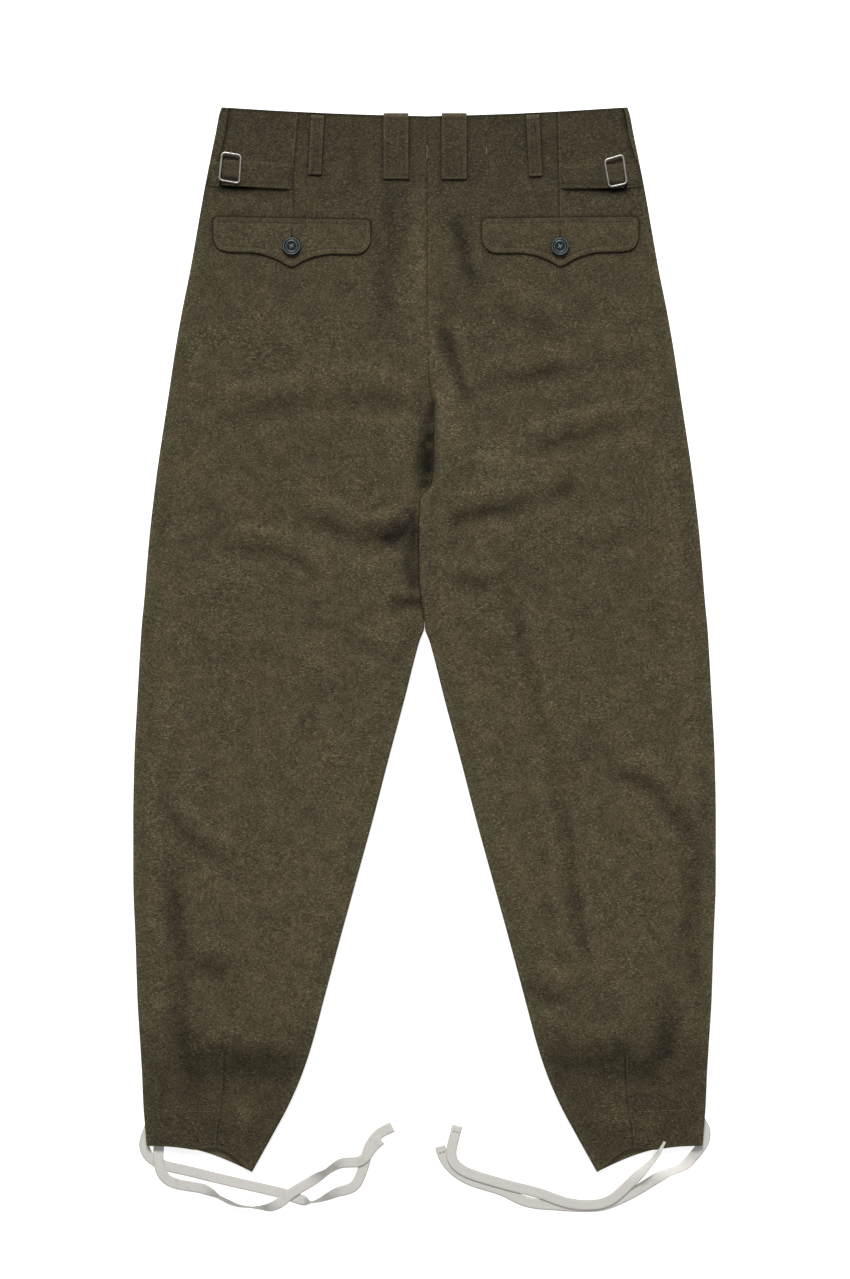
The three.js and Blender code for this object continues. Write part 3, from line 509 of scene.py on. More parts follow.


# The wool's colour: patches * mottle * clouds, then pits and fibres mixed in, then the worn colour by the
# worn attribute and the pale lines of painted light, and tone less the dark lines of painted shade. The tone
# attribute is painted shade and light, and the worn attribute partly wear and partly painted highlight.
def makeWool():
    material, tree, shader = newMaterial("melangeWool", 0.95, **{
        "Specular IOR Level": 0.12, "Sheen Weight": 0.05, "Sheen Roughness": 0.5,
        "Sheen Tint": wool["sheen"]})
    place = objectPlace(tree)
    nap = placeGroup(tree, napGroup, {"Vector": place, "Size": 1.0}).outputs
    patches = rangeOf(tree, noiseOf(tree, place, *wool["patches"]), 0.36, 0.64)
    fleck, clouds = wool["fleck"], wool["clouds"]
    flecked = rangeOf(tree, noiseOf(tree, place, *wool["flecks"]), 0.38, 0.62, -fleck, fleck)
    base = mixed(tree, wool["green"], wool["brown"], calculate(tree, "ADD", patches, flecked, clamped=True))
    mottle = calculate(tree, "MULTIPLY_ADD", nap["Mottle"], wool["mottle"], 1.0 - wool["mottle"] / 2)
    clouded = rangeOf(tree, noiseOf(tree, place, *wool["cloudNoise"]), 0.3, 0.7, 1 - clouds, 1 + clouds)
    mottled = scaledBy(tree, base, times(tree, mottle, clouded))
    dark = mixed(tree, mottled, wool["pit"], times(tree, nap["Pits"], wool["pitShare"]))
    pale = mixed(tree, dark, wool["fibre"], times(tree, nap["Fibres"], wool["fibreShare"]))
    dart, brink, inside, inDart = (attributeOf(tree, key) for key in ("dart", "brink", "inside", "inDart"))
    # Painted shade: dark lines in the dart grooves, along the seams at the panels' edges and in the dips
    # where pieces are sewn.
    groove = times(tree, lineOf(tree, dart, "groove"), inDart)
    lines = calculate(tree, "MAXIMUM", groove, lineOf(tree, brink, "brink"))
    lines = calculate(tree, "MAXIMUM", lines, lineOf(tree, inside, "dip"))
    tone = calculate(tree, "SUBTRACT", attributeOf(tree, "tone"), lines)
    # Painted light: pale lines on the ledges beside the darts, and pale rims on pieces that lie on the back,
    # the rims partly wear.
    ledge = times(tree, lineOf(tree, dart, "ledge"), inDart)
    light = calculate(tree, "MAXIMUM", ledge, lineOf(tree, inside, "edge"))
    rubbedAndLit = times(tree, light, rangeOf(tree, nap["Mottle"], 0.35, 0.6, 0.4, 1.0))
    worn = calculate(tree, "ADD", attributeOf(tree, "worn"), rubbedAndLit, clamped=True)
    reverse = times(tree, attributeOf(tree, "reverse"), wool["reverseShare"])
    colour = mixed(tree, aged(tree, pale, wool["worn"], worn, tone), wool["reverse"], reverse)
    tree.links.new(colour, shader.inputs["Base Color"])
    height = calculate(tree, "ADD", nap["Height"], times(tree, lines, wool["lineDepth"]))
    addBump(tree, shader, height, wool["nap"], wool["napDepth"])
    return material


woolCloth = makeWool()

threadFinish = {"size": 1.6, "mottle": 0.5, "nap": 0.4, "napDepth": 0.0002}
# The dark thread is also laid as painted shade in the buttonhole slits and in small pits at the hem.
threadColours = {
    "khaki": srgb(96, 90, 68), "matched": srgb(79, 72, 54), "dark": srgb(9, 9, 8),
    "grey": srgb(122, 120, 106), "blueGrey": srgb(96, 106, 105), "buttonhole": srgb(58, 54, 40),
}


# Sewing thread: its colour * (1 + mottle * (nap - 0.5)), with the yarn's nap at a smaller size.
def makeThread(name, colour):
    material, tree, shader = newMaterial(name, 0.8, **{"Specular IOR Level": 0.25, "Sheen Weight": 0.1})
    links = {"Vector": objectPlace(tree), "Size": threadFinish["size"]}
    nap = placeGroup(tree, napGroup, links).outputs
    mottle = threadFinish["mottle"]
    tone = calculate(tree, "MULTIPLY_ADD", nap["Mottle"], mottle, -mottle / 2)
    tree.links.new(aged(tree, colour, colour, 0.0, tone), shader.inputs["Base Color"])
    addBump(tree, shader, nap["Height"], threadFinish["nap"], threadFinish["napDepth"])
    return material


threads = {name: makeThread(name + "Thread", colour) for name, colour in threadColours.items()}

# Cotton tape: a fine chevron twill, slightly soiled in soft patches and along the selvedges.
tapeCloth = {"light": srgb(220, 218, 213), "shade": srgb(198, 194, 187), "soil": srgb(176, 168, 156),
             "pitch": 0.62, "chevron": 5.2, "twill": 0.45, "patches": (45, 3.0, 0.6), "patchSoil": 0.45,
             "edgeSoil": 0.5, "nap": 0.5, "napDepth": 0.00025}


# The twill is a sine along the tape, shifted by a zigzag across it: sin(2 pi (along + zigzag) / pitch).
def makeTape():
    material, tree, shader = newMaterial("cottonTape", 0.85, **{
        "Specular IOR Level": 0.25, "Sheen Weight": 0.15, "Sheen Roughness": 0.5})
    uv = addNode(tree, "ShaderNodeUVMap", uv_map="along").outputs["UV"]
    parts = addNode(tree, "ShaderNodeSeparateXYZ", {"Vector": uv})
    across, along = parts.outputs["X"], parts.outputs["Y"]
    zigzag = calculate(tree, "PINGPONG", across, tapeCloth["chevron"] / 2)
    phase = times(tree, calculate(tree, "ADD", along, zigzag), 2 * np.pi / tapeCloth["pitch"])
    twill = calculate(tree, "MULTIPLY_ADD", calculate(tree, "SINE", phase), 0.5, 0.5)
    place = objectPlace(tree)
    nap = placeGroup(tree, napGroup, {"Vector": place, "Size": 1.5}).outputs
    share = tapeCloth["twill"]
    weave = calculate(tree, "MULTIPLY_ADD", twill, share, times(tree, nap["Mottle"], 1 - share))
    base = mixed(tree, tapeCloth["shade"], tapeCloth["light"], rangeOf(tree, weave, 0.25, 0.75))
    patches = noiseOf(tree, place, *tapeCloth["patches"])
    patches = rangeOf(tree, patches, 0.55, 0.78, 0.0, tapeCloth["patchSoil"])
    edges = times(tree, attributeOf(tree, "worn"), tapeCloth["edgeSoil"])
    soil = calculate(tree, "ADD", patches, edges, clamped=True)
    tree.links.new(aged(tree, base, tapeCloth["soil"], soil, 0.0), shader.inputs["Base Color"])
    addBump(tree, shader, weave, tapeCloth["nap"], tapeCloth["napDepth"])
    return material


tapeMaterial = makeTape()

# Bright drawn wire: faint lengthwise scratches and duller patches.
wire = {"bright": srgb(160, 157, 151), "dull": srgb(122, 117, 108), "roughness": (0.4, 0.6),
        "patches": (160, 3.0, 0.6), "scratches": (2500, 300, 900), "nap": 0.15, "napDepth": 0.0001}


# Two noises: patches mix the dull colour in and set the roughness, and long scratches are the bump.
def makeSteel():
    material, tree, shader = newMaterial("brightWire", 0.3, **{"Metallic": 1.0})
    place = objectPlace(tree)
    patches = noiseOf(tree, place, *wire["patches"])
    drawn = addNode(tree, "ShaderNodeMapping", {"Vector": place, "Scale": wire["scratches"]})
    scratches = noiseOf(tree, drawn.outputs[0], 1.0, 2.0, 0.5)
    mask = rangeOf(tree, patches, 0.5, 0.68)
    tree.links.new(aged(tree, wire["bright"], wire["dull"], mask, 0.0), shader.inputs["Base Color"])
    tree.links.new(rangeOf(tree, patches, 0.3, 0.7, *wire["roughness"]), shader.inputs["Roughness"])
    addBump(tree, shader, scratches, wire["nap"], wire["napDepth"])
    return material


steelWire = makeSteel()

# Dull blue-grey button, pale on its rim and raised ring: partly worn by rubbing, partly a painted highlight.
buttonFinish = {"body": srgb(6, 11, 13), "rubbedAndLit": srgb(94, 108, 111), "clouds": (420, 3.0, 0.6),
                "mottle": 0.5, "roughness": (0.32, 0.5), "nap": 0.12, "napDepth": 0.0002}


# The worn attribute times clouds mixes the pale colour in, wear and painted highlight, and the clouds tone
# the body.
def makeButtonFinish():
    material, tree, shader = newMaterial("blueGreyButton", 0.4, **{
        "Specular IOR Level": 0.3, "Coat Weight": 0.05, "Coat Roughness": 0.3})
    clouds = noiseOf(tree, objectPlace(tree), *buttonFinish["clouds"])
    mask = times(tree, attributeOf(tree, "worn"), rangeOf(tree, clouds, 0.25, 0.6, 0.45, 1.0))
    mottle = buttonFinish["mottle"]
    tone = calculate(tree, "MULTIPLY_ADD", clouds, mottle, -mottle / 2)
    colour = aged(tree, buttonFinish["body"], buttonFinish["rubbedAndLit"], mask, tone)
    tree.links.new(colour, shader.inputs["Base Color"])
    tree.links.new(rangeOf(tree, clouds, 0.3, 0.7, *buttonFinish["roughness"]), shader.inputs["Roughness"])
    addBump(tree, shader, clouds, buttonFinish["nap"], buttonFinish["napDepth"])
    return material


buttonMaterial = makeButtonFinish()
print("finishes built")


# Hem tapes: four free ends, laid where their solids lie

tape = {"width": 10.5, "thickness": 0.6, "foldedEnd": 6.5, "foldReach": 0.8, "foldThick": 0.22, "cup": 0.18,
        "selvedge": 0.35, "lean": 0, "lift": 0.05, "rest": 0.02, "steps": 10}
tapeRoutes = {  # x, y, then lean in degrees, lift of the lower edge, and width, where not as usual
    "hem_tape_left_outer": [
        (-274.5, -484), (-276.3, -490), (-279, -497), (-280.7, -504.5), (-278.4, -513.5), (-272, -520.5),
        (-260.8, -526), (-237.5, -531.5), (-213.5, -537.5, 0, 0.1), (-181.5, -545, 0, 0.2),
        (-159.5, -550, 0, 0.1), (-138.9, -555), (-129, -558.8), (-121.8, -560.9, 5), (-112.8, -562, 68),
        (-103.9, -559.7, 55), (-96.7, -556.6, 35), (-87.7, -552.8, 15), (-78.7, -550.6), (-72.6, -548.3),
        (-68.4, -544.6), (-65.6, -539.6), (-62.5, -532), (-59.9, -524), (-57.6, -514), (-52.7, -503),
        (-44.5, -494), (-32.1, -487.5)],
    "hem_tape_left_inner": [
        (-265.7, -495), (-266, -507, 0, 0.1), (-266.5, -516, 0, 0.9), (-265.7, -525, 0, 1),
        (-262.8, -534, 0, 0.9), (-256.5, -541, 0, 0.4), (-247.5, -544.8), (-235.7, -547),
        (-222.5, -549.3, 5), (-213.5, -552.6, 30), (-204.5, -557.4, 58), (-195.5, -562, 55),
        (-186.5, -565.4, 62), (-174.5, -567, 70), (-163.9, -567.6, 55), (-155, -567.4, 25, 0.2),
        (-148, -565, 8, 0.9), (-141.5, -560.8, 0, 1), (-135.5, -555.6, 0, 1), (-125.5, -549, 0, 1.3),
        (-114.5, -542.7, 0, 0.5), (-105.7, -537, 20), (-97.5, -531.8, 42), (-89.5, -526.5, 30, 0.1),
        (-82.5, -523.6, 10, 0.4), (-74.5, -523, 0, 0.9), (-66, -522.3, 0, 1), (-59.8, -518.3, 0, 1),
        (-55, -512, 0, 1), (-50, -505.8, 0, 1), (-43.5, -500.3, 0, 1)],
    "hem_tape_right_inner": [
        (240.3, -501.6, 0, 6.3, 2.6), (238.2, -505.2, 0, 6.4, 3), (235.8, -509.8, 20, 6.2, 4),
        (232.4, -515.2, 50, 2.8, 6.2), (228, -521, 58, 0.5, 8.4), (219, -530.6, 42, 0.1, 10),
        (210.1, -539.5, 14, 0.6), (201.1, -548.5, 0, 1), (192.2, -556.6, 0, 1), (184.5, -561.6, 0, 1),
        (175.5, -564.6, 0, 1), (165.5, -565.6, 0, 1), (155.5, -565.4, 0, 1), (143.5, -563.6, 0, 1),
        (130.5, -559.6, 0, 1), (121.5, -556, 0, 1), (111.5, -552.9, 0, 1), (101.5, -550.3, 0, 1),
        (92, -548, 0, 1), (83.5, -545.8, 0, 1), (73.5, -543, 0, 1), (61, -539.4, 0, 1),
        (48.5, -535.4, 0, 1), (38.5, -531, 0, 1), (31.2, -525.2, 0, 1), (27.5, -518.4, 0, 1),
        (27, -510.4, 0, 1), (28.9, -501.5, 0, 0.9), (32.9, -486.2, 0, 0.3)],
    "hem_tape_right_outer": [
        (272.3, -477), (277, -482.5), (280.5, -489), (281.3, -496.5), (279, -504), (274.5, -511),
        (268.7, -517.8), (262.5, -523.8, 25), (254.5, -528.6, 52), (244.9, -532.2, 52),
        (234.9, -537.4, 22), (225, -543.8), (215, -550), (205.1, -555.5), (194.5, -560.5),
        (184.5, -564.5), (175.5, -566.8), (165.5, -567.6), (155.5, -567.6), (142.5, -567), (130.5, -566),
        (116.1, -565.2), (102, -562.6), (92, -558.6), (82.5, -553.6), (72.5, -549.6), (61.5, -546.4),
        (48.5, -542.2), (38.6, -537.6), (29.5, -531), (22.6, -523.5), (18, -515), (15.7, -506.8)],
}


# Centripetal spline through plane points: the cubic of each piece has the tangents
# (b - a)/p - (c - a)/(p + q) + (c - b)/q, where p and q are square roots of the chords.
def splineThrough(points, steps):
    before = np.concatenate((2 * points[:1] - points[1:2], points[:-1]))[:-1]
    beyond = np.concatenate((points[2:], 2 * points[-1:] - points[-2:-1]))
    here, there = points[:-1], points[1:]
    p, q, r = (np.sqrt(np.linalg.norm(b - a, axis=1))[:, None] for a, b in
               ((before, here), (here, there), (there, beyond)))
    leave = ((here - before) / p - (there - before) / (p + q) + (there - here) / q) * q
    reach = ((there - here) / q - (beyond - here) / (q + r) + (beyond - there) / r) * q
    t = (np.arange(steps) / steps)[None, :, None]
    square = -3 * here + 3 * there - 2 * leave - reach
    cube = 2 * here - 2 * there + leave + reach
    curve = here[:, None] + leave[:, None] * t + square[:, None] * t * t + cube[:, None] * t ** 3
    return np.concatenate((curve.reshape(-1, points.shape[1]), points[-1:]))


# A flat tape on its route: the section is a thin rounded strip, a little cupped, that leans on
# edge where it is twisted; its middle lies at lift + (width * sin(lean) + thickness * cos(lean)) / 2.
def makeHemTape(name, route):
    usual = (tape["lean"], tape["lift"], tape["width"])
    rows = np.array([(*row, *usual[len(row) - 2:]) for row in route], float)
    flat = splineThrough(rows[:, :2], tape["steps"])
    share = np.linspace(0, 1, len(flat))
    lean, lift, width = (lineThrough(np.linspace(0, 1, len(rows)), rows[:, k])(share) for k in (2, 3, 4))
    lean = np.radians(lean)
    along = unit(np.gradient(flat, axis=0))
    length = lengthAlong(flat)
    height = lift + (width * np.sin(lean) + tape["thickness"] * np.cos(lean)) / 2
    centres = np.column_stack((flat, height))
    across = np.column_stack((-along[:, 1] * np.cos(lean), along[:, 0] * np.cos(lean), np.sin(lean)))
    forward = np.column_stack((along, np.zeros(len(along))))
    up = np.cross(forward, across)
    side = np.linspace(-1, 1, 9)
    doubled = smooth((length - length[-1] + tape["foldedEnd"]) / tape["foldReach"])
    thick = tape["thickness"] / 2 + tape["foldThick"] * doubled
    a = np.concatenate((side[::-1] * 0.97, [-1], side * 0.97, [1]))
    edge = np.concatenate((np.ones(9), [0], -np.ones(9), [0]))
    selvedge = 1 - tape["selvedge"] * above(np.abs(a), 0.86, 0.1)
    section = np.stack((
        width[:, None] / 2 * a,
        thick[:, None] * edge * selvedge + tape["cup"] * (a * a) * np.sin(lean)[:, None]), axis=-1)
    section[..., 1] += tape["foldThick"] / 2 * doubled[:, None]
    points, faces = carried(centres, across, up, section)
    points[:, 2] = np.maximum(points[:, 2], tape["rest"])
    lengths = np.repeat(np.pad(length, 2, mode="edge"), len(a))  # two rings close each end
    around = np.tile(a * tape["width"] / 2, len(centres) + 4)
    worn = np.tile(above(np.abs(a), 0.8, 0.2), len(centres) + 4)
    piece = makePiece(titled(name), points, faces, tapeMaterial,
                      {"worn": worn}, np.column_stack((around, lengths)))
    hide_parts(name)
    print(name, "length", round(length[-1]), "mm")
    return piece, centres, across, up, length


tapePieces = {}
for tapeName, tapeRoute in tapeRoutes.items():
    tapePieces[tapeName] = makeHemTape(tapeName, tapeRoute)
print("hem tapes laid")


# The cut: each leg is a flat tube of cloth, in a front panel below and a back panel on top

cloth = {"half": 0.9, "layerGap": 2.0, "seamGap": 0.3, "rim": 0.9, "seamRim": 0.08}
waist = {"sideY": 532, "centreY": 523, "bow": -1.3}
hem = {"outerY": -505, "innerY": -532, "bow": 8, "bowStartsAt": 0.9}
hemStep = {"depth": 9, "centre": 0.72, "reach": 0.3, "startsAt": 0.94}
tapeRoom = {"lift": 1, "startY": -452, "fullY": -476, "fullWidth": 34, "endWidth": 56}
panelGrid = {"rows": 432, "columns": 84, "roll": 6, "frontRows": 300, "frontColumns": 84, "frontRoll": 5}
# The legs at heights y: x of the outer and the inner edge, how far the seat seam strays, how far
# the legs are parted (0 to 1), how far in the side seams lie on the back, and how high it puffs.
cut = columnsOf("y outside inside seat cleft sideLeft sideRight puff", [
    (532, 203.5, 0, 2.5, 0, 8, 4.5, 0), (526, 205.5, 0, 2.5, 0, 9, 5, 0),
    (510, 208.5, 0, 2.5, 0, 10, 5.5, 0), (487, 213.2, 0, 2.5, 0, 9, 4, 0), (450, 220.5, 0, 2.6, 0, 1, 0, 0),
    (410, 227.5, 0, 2.8, 0, 0, 0, 0), (370, 234.5, 0, 3, 0, 0, 0, 0), (330, 242.5, 0, 3.4, 0, 0, 0, 0.8),
    (290, 249.5, 0, 4, 0, 0, 0, 1.4), (252, 255.2, 0, 5, 0.1, 0, 0, 1.8),
    (232, 258.2, 0, 9.8, 0.15, 0, 0, 1.8), (182, 265.8, 0, 9.5, 0.2, 0, 0, 1.8),
    (157, 269.2, 0, 7.5, 0.25, 0, 0, 1.8), (140, 271.3, 0, -4.6, 0.3, 0, 0, 1.8),
    (108, 274.9, 0, -5.8, 0.45, 0, 0, 1.8), (73, 278, 0, -5.8, 0.65, 0, 0, 1.8),
    (40, 280.6, 0, -3.5, 0.9, 0, 0, 1.8), (13, 283.2, 0, 0, 1, 0, 0, 1.8), (0, 284.1, 4.5, 0, 1, 0, 0, 1.8),
    (-60, 287.5, 20, 0, 1, 0, 0, 1.7), (-120, 290.5, 36, 0, 1, 0, 0, 1.6),
    (-180, 291.6, 51.5, 0, 1, 0, 0, 1.6), (-240, 291.5, 68, 0, 1, 0, 0, 1.5),
    (-300, 289.3, 84.5, 0, 1, 0, 0, 1.5), (-360, 287.3, 100.5, 0, 1, 0, 0, 1.4),
    (-405, 284.5, 112.5, 0, 1, 0, 0, 1.2), (-435, 282.7, 122.5, 0, 1, 0, 0, 0.9),
    (-465, 281.4, 135.5, 0, 1, 0, 0, 0.5), (-495, 279, 151.5, 0, 1, 0, 0, 0.2),
    (-532, 276.5, 172, 0, 1, 0, 0, 0),
])
cutLine = {key: lineThrough(cut["y"], cut[key]) for key in cut if key != "y"}
rollRadius = cloth["half"] + cloth["layerGap"] / 2
rollHeight = cloth["half"] + rollRadius
quarterRoll = np.pi * rollRadius / 2
backHeight = 2 * rollHeight
seatLength = waist["centreY"] - hem["innerY"]

# Creases of the back, placed one by one. Each runs from x, y to endX, endY. rise is a ridge above
# zero and a trough below. step is a ledge that is high on the left of the run. high and low are
# the breadths on its left and right. A ninth number is how far its middle strays to the left.
creases = {
    "left": [
        (-218, 226, -94, 253, 0, 1.0, 16, 15), (-100, 253, 0, 236, 0, 1.0, 16, 15),
        (-134, 272, -10, 262, 0.5, 0, 18, 18), (-53.5, 288, -30.5, 430, -0.7, 0.4, 12, 12, 2.5),
        (-36.5, 400, -20.5, 445, -0.5, 0, 9, 9), (-6, 235, -6, 460, 0.5, 0, 12, 12),
        (8, 275, 6, 120, -2.6, 0, 12, 14), (-124, 131, -52.5, 105, 0, 1.2, 13, 13),
        (-80, 100, -2.5, 116, -0.5, 1.5, 14, 16), (-13, 50, -9, 102, -1.1, 0, 10, 12),
        (-129.5, 146, -24.5, 142, 0.5, 0, 16, 16), (-206, 99, -124, 89, 0, 0.9, 12, 11),
        (-128, 90, -94, 58, 0, 0.8, 10, 10), (-44, 34, -4, 40, 0, 0.9, 9, 9),
        (-84.5, 5, -24.5, -15, 0, 0.4, 12, 12), (-190, -5, -140, -12, 0, 0.4, 14, 14),
        (-270, -5, -225, -15, 0, 0.3, 12, 12), (-124.5, -130, -121, -20, 0, 0.25, 12, 12),
        (-262, -160, -190, -232, 0, 0.9, 12, 12), (-246, -335, -259, -225, -0.8, 0.3, 13, 12),
        (-236, -310, -190, -328, 0, 0.7, 15, 18), (-209.5, -355, -174.5, -325, 0.3, 0, 8, 8),
        (-184, -348, -166, -345, 0.3, 0, 8, 8), (-250, -335, -236, -425, -0.9, 0.2, 14, 15),
        (-240, -410, -120, -416, 0, 0.6, 15, 24), (-198, -478, -165, -478, 0.5, 0, 16, 16),
        (-214, 452, -130, 448, -0.6, 0, 8, 8),
    ],
    "right": [
        (31, 418, 55, 345, -0.9, 0.5, 9, 11), (60, 352, 150, 302, 0, 0.7, 14, 14),
        (12, 322, 41.5, 250, -0.9, 0.5, 8, 9), (45, 246, 33.5, 324, 0.5, 0, 6, 6),
        (50, 260, 168, 280, 0, 1.0, 13, 13), (160, 275, 240, 292, 0, 0.5, 12, 12),
        (26, 258, 24, 165, 1.0, 0, 14, 16), (74, 188, 228, 226, 0, 1.0, 13, 13),
        (18, 124, 118, 142, 0, 1.2, 12, 13), (118, 142, 154, 166, 0, 0.9, 12, 13),
        (40, 178, 130, 184, 0.6, 0, 18, 22), (148, 96, 220, 112, 0, 0.6, 13, 13),
        (24, 62, 76, 58, 0, 0.6, 11, 11), (113.5, -104, 78, 62, -0.4, 0.7, 9, 9, -4),
        (126, -100, 95, 52, 0.3, 0, 8, 8), (154, -312, 120.5, -125, -0.4, 0.8, 9, 9),
        (155, -316, 143, -240, -0.6, 0.5, 9, 10), (186, -126, 250, -152, 0, 1.1, 11, 11),
        (240, -146, 276, -208, 0, 1.2, 11, 12), (264, -330, 276, -190, -1.0, 0, 12, 13),
        (262, -142, 284, -156, 0.4, 0, 14, 14), (108, -341, 142, -359, 0, 0.9, 14, 15),
        (106, -298, 124, -320, 0, 0.5, 10, 10), (165, -310, 215, -362, 0.3, 0, 12, 12),
        (230, -436, 246, -366, -0.9, 0.4, 13, 13), (128, -408, 240, -412, 0, 0.6, 15, 24),
        (165, -478, 200, -478, 0.5, 0, 16, 16), (214, 449, 130, 447, -0.6, 0, 8, 8),
    ],
}
lie = {
    "crown": 0.8, "crownFrom": 330, "crownTo": -470, "crownOver": 120,  # a little higher along the legs
    "swells": ((0.7, 46, 3), (0.45, 21, 4), (0.2, 10, 5)),  # height, cell and seed of soft swells
    "calm": 0.45, "calmFrom": 420,  # share of the swells above that height
    "floor": -1.6, "softness": 0.35, "edgeFade": 26,
    "creaseDepth": 2.7, "step": 3.5, "reach": 1.14, "highBreadth": 2.1, "lowBreadth": 1.75, "drift": 3.2,
    "lapBreadth": 34, "lapFrom": 322, "lapFloor": -0.3,  # where the fly underlap keeps the cloth up
}
seams = {  # x at heights y of the dart seams and the hem seams on each side
    "left": {"dart": ((527, -126.5), (484, -130.5), (452, -132.5), (424, -132)),
             "hemDart": ((-413, -200.9), (-437, -201.5), (-472, -204.5), (-493, -207.9), (-510, -208.4))},
    "right": {"dart": ((527, 133.5), (473, 134.5), (450, 135), (427, 135.5)),
              "hemDart": ((-413, 201.4), (-437, 202), (-472, 205), (-493, 208.4), (-510, 208.9))},
    "casing": 34, "casingStep": 0.3, "pucker": 0.25, "puckerReach": 14,
    "seatFrom": 20, "seatOver": 40, "meeting": 5.5, "groove": 0.3, "grooveReach": 1.5,
    "ridge": 0.28, "ridgeIn": 8.5, "ridgeReach": 3,
    "dartGroove": 0.3, "dartReach": 1.3, "ledge": 0.3, "ledgeOut": 3.2, "ledgeReach": 2.2,
    "side": 0.35, "sideReach": 1.4,
}
seamLine = {side: {key: lineThrough(*np.array(seams[side][key], float).T) for key in ("dart", "hemDart")}
            for side in ("left", "right")}


# Places in the frame of a stroke: how far along it from its middle, how far to its left, and
# the length of the stroke.
def strokeFrame(x, y, startX, startY, endX, endY):
    run = np.hypot(endX - startX, endY - startY)
    dx, dy = (endX - startX) / run, (endY - startY) / run
    a, b = x - (startX + endX) / 2, y - (startY + endY) / 2
    return a * dx + b * dy, b * dx - a * dy, run


# Height of the creases at x, y: hump(along) * hump(t) * (rise + lie's step * step * t), where
# t = (across - bend * (1 - along^2)) / breadth, on places that drift softly.
def creaseHeight(x, y, side):
    drift = lie["drift"]
    u = x + drift * ripple(x, y, 37, 11) + 0.4 * drift * ripple(x, y, 14, 12)
    v = y + drift * ripple(x, y, 41, 13) + 0.4 * drift * ripple(x, y, 15, 14)
    height = np.zeros_like(u)
    for row in creases[side]:
        *stroke, rise, step, high, low, bend = (*row, 0)[:9]
        along, across, run = strokeFrame(u, v, *stroke)
        along = along / (run / 2 * lie["reach"])
        across = across - bend * (1 - np.clip(along, -1, 1) ** 2)
        t = across / np.where(across > 0, high * lie["highBreadth"], low * lie["lowBreadth"])
        height += hump(along) * hump(t) * (rise + lie["step"] * step * t)
    return height * lie["creaseDepth"]


# Loose lie of the back above its plain height, before its seams: puff, creases and soft swells,
# kept above the floor by floor + s * ln(1 + e^((height - floor) / s)).
def looseHeight(x, y, side):
    over = lie["crownOver"]
    crown = lie["crown"] * below(y, lie["crownFrom"], over) * above(y, lie["crownTo"], over)
    height = cutLine["puff"](y) + crown + creaseHeight(x, y, side)
    calm = blend(lie["calm"], 1, below(y, lie["calmFrom"], over))
    for size, cell, seed in lie["swells"]:
        height = height + size * ripple(x, y, cell, seed) * calm
    high = (height - lie["floor"]) / lie["softness"]
    height = lie["floor"] + lie["softness"] * np.logaddexp(0, high)
    onLap = below(np.abs(x), lie["lapBreadth"], 8) * above(y, lie["lapFrom"], 12)
    return blend(height, np.maximum(height, lie["lapFloor"]), onLap)


# Share of the loose lie: 0 on the rolled outer edge, and on the inner one as far as the legs
# part there, rising to 1 over edgeFade.
def edgeFade(fromOuter, fromInner, cleft):
    outer = above(fromOuter, rollHeight, lie["edgeFade"])
    inner = above(fromInner, rollHeight, lie["edgeFade"])
    return outer * blend(1, inner, smooth(cleft))


# Top of the plain cloth of the back, for pieces that lie on it: backHeight, less a quarter circle
# at the outer edge, plus the faded loose height.
def laidTop(x, y):
    height = np.where(x < 0, looseHeight(x, y, "left"), looseHeight(x, y, "right"))
    inFromEdge = cutLine["outside"](y) - np.abs(x)
    short = np.clip(rollHeight - inFromEdge, 0, rollHeight)
    roll = rollHeight - np.sqrt(rollHeight ** 2 - short ** 2)
    return backHeight - roll + height * edgeFade(inFromEdge, 99, 0)


# One section across a leg for each entry of down, which runs from 0 at the waist to 1 at the hem.
def sectionOf(side, face, down):
    sign = -1 if side == "left" else 1
    outerY = blend(waist["sideY"], hem["outerY"], down)
    innerY = blend(waist["centreY"], hem["innerY"], down)
    stray = cutLine["seat"](innerY) if face == "back" else 0
    outerX, innerX = sign * cutLine["outside"](outerY), sign * cutLine["inside"](innerY) + stray
    width = np.hypot(outerX - innerX, outerY - innerY)
    cleft = cutLine["cleft"](innerY)
    innerTurn = cleft * (quarterRoll - cloth["seamGap"] / 2) / rollRadius
    innerEnd = cloth["seamGap"] / 2 + cloth["half"] * np.sin(innerTurn)
    flatEnd = innerEnd + rollRadius * np.sin(innerTurn)
    return {
        "side": side, "face": face, "down": down, "outerX": outerX, "outerY": outerY,
        "innerX": innerX, "innerY": innerY, "width": width, "cleft": cleft, "innerTurn": innerTurn,
        "innerEnd": innerEnd, "length": quarterRoll + (width - rollHeight - flatEnd) + rollRadius * innerTurn,
        "sideSeam": cutLine["sideLeft" if side == "left" else "sideRight"](outerY),
    }


